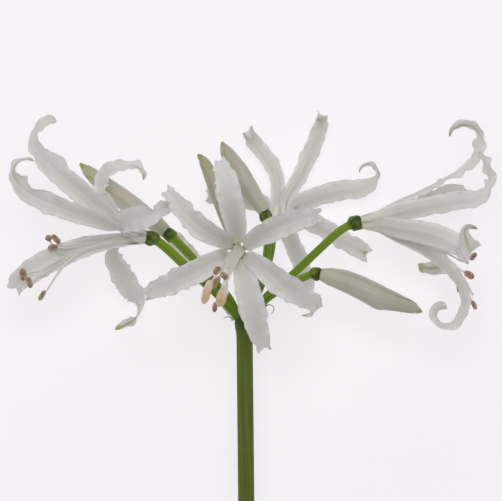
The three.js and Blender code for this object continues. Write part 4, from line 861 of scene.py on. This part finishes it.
def makeBloom(name, seed):
    bloom, node = blooms[name], "bloom_" + name
    blades = [tepalPart(bloom, tepal, petal["clawWidths"][name], own, seed + k)
              for k, (tepal, own) in enumerate(zip(bloom["tepals"], tepalLooks[name]))]
    line = [seat(bloom, 0, along, 0)[0] for along in cup["along"]]
    tube = tubePart(line, cup["radii"], cup["stations"], cup["sides"])
    makePiece(node, "petals", blades + [asOuterFace(tube, 0.5, 0.04)], petalSkin)
    threads, sacs = [], []
    for k, (through, middle, *sacShape) in enumerate(bloom["stamens"]):
        root, middle = seat(bloom, 60 * k + 30, 1.0, 1.2)[0], truePlace(middle)
        points = np.vstack([root, truePlace(through), middle])
        threads.append(threadPart(points, thread["foot"], thread["end"]))
        sacs.append(sacPart(middle, *sacShape))
    style = np.vstack([seat(bloom, 0, 1.0, 0)[0], truePlace(bloom["style"])])
    threads.append(threadPart(style, thread["style"], thread["stigma"], thread["knob"]))
    makePiece(node, "threads", threads, threadSkin)
    makePiece(node, "sacs", sacs, sacSkin)
    print("bloom made:", name)


for order, name in enumerate(blooms):
    makeBloom(name, petal["seed"] + 10 * order)

# Each stalk and its seed pod: the way it leaves the stem's top, then rows of x, y, z and radius.
stalks = {
    "front": (
        (0.05, 0.35, 0.93), (0.8, 3.5, 9, 1.4), (0.3, 10, 16, 1.5), (-0.2, 17, 24, 1.5),
        (-1, 21.4, 30, 1.6), (-1.6, 23.3, 33.4, 2.4)),
    "left": (
        (-0.8, 0.52, 0.3), (-7.9, 6.1, 1.6, 1.5), (-15.3, 13, 2.6, 1.6), (-22.8, 19.7, 3.6, 1.7),
        (-28.4, 24.9, 4.6, 1.7), (-31, 27, 5.1, 1.9), (-33, 28.3, 5.4, 2.8)),
    "right": (
        (0.8, 0.58, -0.1), (9, 7, 0, 1.45), (18.5, 15, 0.5, 1.5), (28, 24, 1.2, 1.5),
        (34.4, 29.9, 1.8, 1.5), (37.4, 32.1, 2, 1.9), (40.3, 33.5, 2.2, 2.8)),
    "back": (
        (0.5, 0.58, -0.64), (5.2, 7, -5, 1.4), (8.2, 15, -8, 1.5), (10.4, 24, -11.4, 1.5),
        (11, 29.6, -15, 1.6), (11.9, 32.3, -18.5, 2.7)),
    "left_bud": (
        (-0.72, 0.56, -0.42), (-5.2, 6.3, -3.2, 1.45), (-11.8, 13.3, -5, 1.55), (-18.6, 21, -6.8, 1.6),
        (-23.9, 26.6, -8.2, 1.6), (-26.2, 28.8, -9, 2.5)),
    "slim_bud": (
        (-0.22, 0.62, -0.75), (-0.9, 5, -4.8, 1.2), (-1.7, 12, -6.2, 1.3), (-2.7, 20, -7.2, 1.3),
        (-3.3, 26.4, -8, 1.3), (-3.7, 29.2, -8.4, 2.2)),
    "top_bud": (
        (0.15, 0.98, -0.1), (3.4, 6.5, -1.2, 1.3), (6, 12, -2.2, 1.4), (8.4, 19, -3.8, 1.5),
        (9.2, 27, -5.8, 1.5), (8.9, 33, -7.4, 1.5), (8.6, 35.8, -8.2, 2.4)),
    "right_bud": (
        (0.78, 0.3, 0.55), (8.5, 5.6, 4.4, 1.3), (14, 9.5, 5.2, 1.4), (20, 12.8, 5.6, 1.4),
        (24.6, 14.8, 5.9, 1.5), (26.6, 15.3, 6, 2.5)),
}

# Each bud: rows of x, y, z and width across, from its foot to its point.
buds = {
    "left_bud": (
        (-28.3, 30.7, -10, 4.3), (-31, 33.1, -11, 5.6), (-35.5, 36.4, -12.2, 6.8), (-40, 39.8, -13.5, 7.2),
        (-45, 43.6, -14.8, 7.2), (-50, 47.3, -16, 6.6), (-54.5, 51, -17.2, 5.4), (-58, 54, -18, 3.6),
        (-60.3, 56.1, -18.4, 0.9)),
    "slim_bud": (
        (-4.5, 31.4, -8.9, 3.4), (-5.5, 33.6, -9.2, 3.9), (-6.8, 37.2, -9.6, 4.3), (-8.7, 42.6, -10.2, 4.6),
        (-10.8, 48.4, -10.8, 4.6), (-12, 51.6, -11.3, 4.5), (-13.3, 54.9, -11.8, 4.1),
        (-14.6, 57.2, -12, 3.4), (-15.8, 58.6, -12, 2.3), (-16.7, 59.5, -12, 0.8)),
    "top_bud": (
        (8, 38.2, -9, 3.8), (6.8, 40.1, -9.3, 4.9), (5, 42.8, -9.6, 5.8), (2.9, 46.2, -10.2, 6.5),
        (0.6, 50, -10.8, 6.8), (-1.6, 53.6, -11.4, 6.8), (-3.9, 57, -11.8, 6.1), (-5.7, 60, -12, 4.8),
        (-7, 62.4, -12, 3.1), (-7.7, 64.1, -12, 0.9)),
    "right_bud": (
        (28.9, 15, 6.2, 4), (32.2, 14.2, 6.8, 6.2), (37.6, 12.6, 7.4, 7.6), (43.1, 10.3, 8, 8.2),
        (48, 7.8, 8.4, 8.5), (50.9, 6.3, 8.5, 8.8), (53.2, 5.7, 8.5, 7.7), (59.5, 3.8, 8.4, 5.4),
        (63, 2.6, 8.2, 4), (65.2, 1.6, 8.1, 2.2), (66.2, 1.1, 8, 0.8)),
}

stalk = {"start": 3.0, "foot": 1.35, "stations": 150, "sides": 36, "rib": 0.045, "fineRib": 0.02,
         "bloomPod": 5.2, "budPod": 4.4, "podLobes": 0.07, "lumps": 0.035, "shoulder": 0.35, "closing": 0.3}
stem = {"top": np.array([0.6, -2.8, 0.0]), "length": 322.0, "radius": 3.0, "stations": 420, "sides": 72,
        "rib": 0.016, "oval": 0.012, "swell": 0.7, "dome": 3.6, "domeReach": 3.7, "bevel": 0.06,
        "bend": [(1, 2.6, 0), (0.6, 2.0, 0.8), (0.2, 1.2, 0.5), (0.006, 0.6, 0)]}  # share from the top, x, z


def footing(name):  # where a flower or bud sits on its stalk, the way it grows and its radius there
    if name in blooms:
        return truePlace(blooms[name]["base"]), unit(blooms[name]["axis"]), 2.5
    rows = places(buds[name][:2])
    return rows[0], unit(rows[1] - rows[0]), buds[name][0][3] / 2


def makeStalk(name):
    out, *rows = stalks[name]
    end, way, endRadius = footing(name)
    points = np.vstack([stem["top"] + unit(out) * stalk["start"], places(rows), end + 0.1 * way])
    thin, pod = rows[-3][3], rows[-1][3]
    radii = [stalk["foot"]] + [min(row[3], thin) for row in rows] + [thin]
    podShare = stalk["bloomPod" if name in blooms else "budPod"] / smoothLine(points, [0, 1])[2]
    podStart = 1 - podShare
    turn = 7.0 * len(name)

    def shape(angle, s):
        # Three soft ribs along the stalk; past podStart the radius swells to the pod's,
        # with three lobes and small lumps, and draws in again at the very end.
        inside = ease(s, podStart, podStart + stalk["shoulder"] * podShare)
        closing = ease(s, 1 - stalk["closing"] * podShare, 1)
        radius = thin + (pod - thin) * inside - (pod - endRadius) * closing
        ribs = stalk["rib"] * np.cos(3 * angle + turn) + stalk["fineRib"] * np.cos(5 * angle + 2 * turn)
        lumps = stalk["lumps"] * np.sin(6 * angle + turn) * np.sin(5 * (s - podStart) / podShare + turn)
        lobes = stalk["podLobes"] * np.cos(3 * angle + turn) + lumps
        return radius / thin * (1 + ribs * (1 - inside) + lobes * inside * (1 - closing))

    part = tubePart(points, radii, stalk["stations"], stalk["sides"], shape, tint=podStart, crowd=1.25)
    makePiece("stalk_" + name, "skin", [part], stalkSkin)


for name in stalks:
    makeStalk(name)
print("stalks made")


def makeStem():
    top, rib = stem["top"], stem["rib"]
    bent = [[x, top[1] - share * stem["length"], z] for share, x, z in stem["bend"]]
    spine = np.array(bent + [top, top + (0, stem["dome"], 0)])
    length = smoothLine(spine, [0, 1])[2]

    def shape(angle, s):
        # Fine ribs along the stem. Near its top the radius swells, then closes as a dome.
        toTop = (1 - s) * length
        swell = stem["swell"] / stem["radius"] * ease(toTop, 9.0, 3.4)
        high = np.clip((stem["dome"] - toTop) / stem["domeReach"], 0, 1)
        dome = np.sqrt(np.clip(1 - high**2, 0.0004, 1))
        bevel = 1 - stem["bevel"] * ease(s * length, 0.5, 0.0)
        ribs = rib * np.cos(11 * angle + 1.0) + 0.6 * rib * np.cos(17 * angle + 5 * s)
        ribs = ribs + stem["oval"] * np.cos(2 * angle + 1)
        return (1 + swell + ribs * (1 - 0.6 * ease(s, 0.97, 1))) * dome * bevel

    part = tubePart(spine, [stem["radius"]] * len(spine), stem["stations"], stem["sides"], shape, (1, 0, 0))
    part["tint"][-2] = 1.0  # the middle of the cut face
    makePiece("stem", "skin", [part], stemSkin)
    print("stem made")


makeStem()

bud = {"stations": 110, "sides": 60, "across": 31, "thickness": 0.22, "wrap": 2.5, "stand": 0.10,
       "core": 0.965, "scale": 0.975, "threeSided": 0.04, "edgeStand": 0.05}
budLooks = {
    "left_bud": {"turn": 5.6, "green": 0.4, "ends": (1.0, 0.975, 0.93)},
    "slim_bud": {"turn": 5.1, "green": 0.6, "ends": (1.0, 0.96, 0.92)},
    "top_bud": {"turn": 5.1, "green": 0.2, "ends": (1.0, 0.98, 0.93)},
    "right_bud": {"turn": 1.6, "green": 0.1, "ends": (1.0, 0.985, 0.94)},
}


def makeBud(name):
    # Three outer scales wrap a closed core. A scale is part of a tube: its angle runs
    # half its wrap to either side of its middle, and narrows to nothing at its own end.
    rows, look = buds[name], budLooks[name]
    points, widths = places(rows), [row[3] / 2 for row in rows]
    bulge = lambda angle: bud["threeSided"] * np.cos(3 * (angle - look["turn"]))
    core = tubePart(points, widths, bud["stations"], bud["sides"],
                    lambda angle, s: bud["core"] + bulge(angle), tint=look["green"])
    parts = [asOuterFace(core, 0.0, 1.0)]
    for k, end in enumerate(look["ends"]):
        s = np.linspace(0, end, bud["stations"])
        line, pointShares, _ = smoothLine(points, s)
        frames = carriedFrames(line, firstSide(points))
        v = np.linspace(-1, 1, bud["across"])[None, :]
        t = (s / end)[:, None]
        wrap = bud["wrap"] / 2 * (1 - ease(t, 0.78, 1.0) ** 1.5 * 0.93)
        angle = look["turn"] + 2 * np.pi * k / 3 + v * wrap
        radius = np.interp(s, pointShares, widths)[:, None] * (bud["scale"] + bulge(angle))
        radius = radius + bud["stand"] * (1 + 0.5 * k) + bud["edgeStand"] * v**4
        thickness = bud["thickness"] * (1 - 0.6 * v**4) * (1 - 0.4 * t)
        parts.append(sheetPart(ringed(line, *frames, angle, radius), thickness, v, t * end, look["green"]))
    makePiece(name, "skin", parts, budSkin)


for name in buds:
    makeBud(name)
print("buds made")

# The dry sheath: rows like a tepal's. The dry threads: the points they pass.
sheathRows = (
    (-4.4, 0.4, -4.6, 2.4, 0), (-8.6, 7.2, -8.4, 3.6, 0), (-14, 14.6, -11.4, 5.2, 0),
    (-19.4, 20.8, -13, 7.4, 0), (-23.2, 25.6, -14, 7.2, 0), (-26.4, 29.6, -14.8, 4.8, 0),
    (-28.6, 32, -15.2, 1, 0))
threadRows = {
    "dry_thread_left": ((-3.6, -2, 0.6), (-4.8, -0.7, 0.7), (-5.9, -0.7, 0.8), (-7.2, -1.2, 0.8)),
    "dry_thread_right": ((4.7, -2.4, -2.2), (7, 1.6, -2.9), (9.4, 3.8, -2.8),
                         (11.2, 3.2, -2.6), (11.4, 1.6, -2.5), (10.3, 0.2, -2.5)),
}

dry = {"thickness": 0.18, "seed": 90, "sheathTint": 0.25,
       "threadTint": 0.9, "radius": 0.42, "stations": 40, "sides": 10}


def makeDry():
    grid, s, v = bladeGrid(places(sheathRows), sheathRows, (0, 0, 1), {}, dry["seed"])
    sheath = sheetPart(grid, dry["thickness"] + 0 * v * s, v, s, dry["sheathTint"])
    makePiece("dry_sheath", "skin", [sheath], drySkin)
    for name, rows in threadRows.items():
        radii = dry["radius"] * (1 - 0.75 * np.linspace(0, 1, len(rows)))
        part = tubePart(truePlace(rows), radii, dry["stations"], dry["sides"],
                        lambda angle, s: 1 + 0.25 * np.cos(2 * angle + 5 * s), tint=dry["threadTint"])
        makePiece(name, "skin", [part], drySkin)


makeDry()
print("dry pieces made")

studio = {
    "half": 4.0, "below": -0.0005, "sky": (1.0, 1.0, 1.0), "skyStrength": 0.15, "aim": (0.0, 0.1, 0.05),
    "lights": [  # name, place, size and power
        ("headSide", (-0.1, 1.5, 0.9), 1.0, 5.5), ("footSide", (0.0, -1.5, 0.9), 1.2, 2.2),
        ("leftSide", (-1.4, 0.2, 0.9), 1.0, 2.8), ("above", (0.0, 0.2, 1.7), 0.5, 8.0),
        ("rightSide", (1.4, 0.4, 0.8), 1.0, 2.2)],
}
floorLook = {
    "shader": {"Roughness": 0.9, "Specular IOR Level": 0.0, "Emission Color": (0.685, 0.667, 0.688, 1.0),
               "Emission Strength": 1.0},
    "under": (0.36, 0.35, 0.36), "patches": {"Scale": 1.5, "Low": 0.3, "High": 0.7},
    "shade": {"colour": (0.3564, 0.3465, 0.3564)}, "bumps": [],
}


def placed(name, data):
    thing = bpy.data.objects.new(name, data)
    scene.collection.objects.link(thing)
    return thing


def makeStudio():
    half, below = studio["half"], studio["below"]
    mesh = bpy.data.meshes.new("floor")
    corners = [(-half, -half, below), (half, -half, below), (half, half, below), (-half, half, below)]
    mesh.from_pydata(corners, [], [(0, 1, 2, 3)])
    skin = Skin("floorPaint", floorLook)
    skin.lay("shade", "patches")
    mesh.materials.append(skin.finish())
    floorObject = placed("floor", mesh)
    scene.world = bpy.data.worlds.new("studio")
    scene.world.use_nodes = True
    sky = scene.world.node_tree.nodes["Background"].inputs
    sky["Color"].default_value = (*studio["sky"], 1.0)
    sky["Strength"].default_value = studio["skyStrength"]
    for name, place, size, power in studio["lights"]:
        light = bpy.data.lights.new(name, "AREA")
        light.size, light.energy = size, power
        lamp = placed(name, light)
        lamp.location = place
        lamp.rotation_euler = (Vector(studio["aim"]) - Vector(place)).to_track_quat("-Z", "Y").to_euler()


def makeCamera():
    # The camera looks along the flower's own z, from the distance at which the rows are read.
    camera = bpy.data.cameras.new("camera")
    camera.sensor_width = 36.0
    camera.lens = camera.sensor_width * sight["distance"] / sight["width"]
    camera.clip_start, camera.clip_end = 0.05, 50.0
    scene.camera = placed("camera", camera)
    place = layDown((*sight["middle"], sight["distance"]))
    scene.camera.matrix_world = Matrix.Translation(place) @ Matrix(lyingTurn().tolist()).to_4x4()


makeStudio()
makeCamera()
print("studio made")
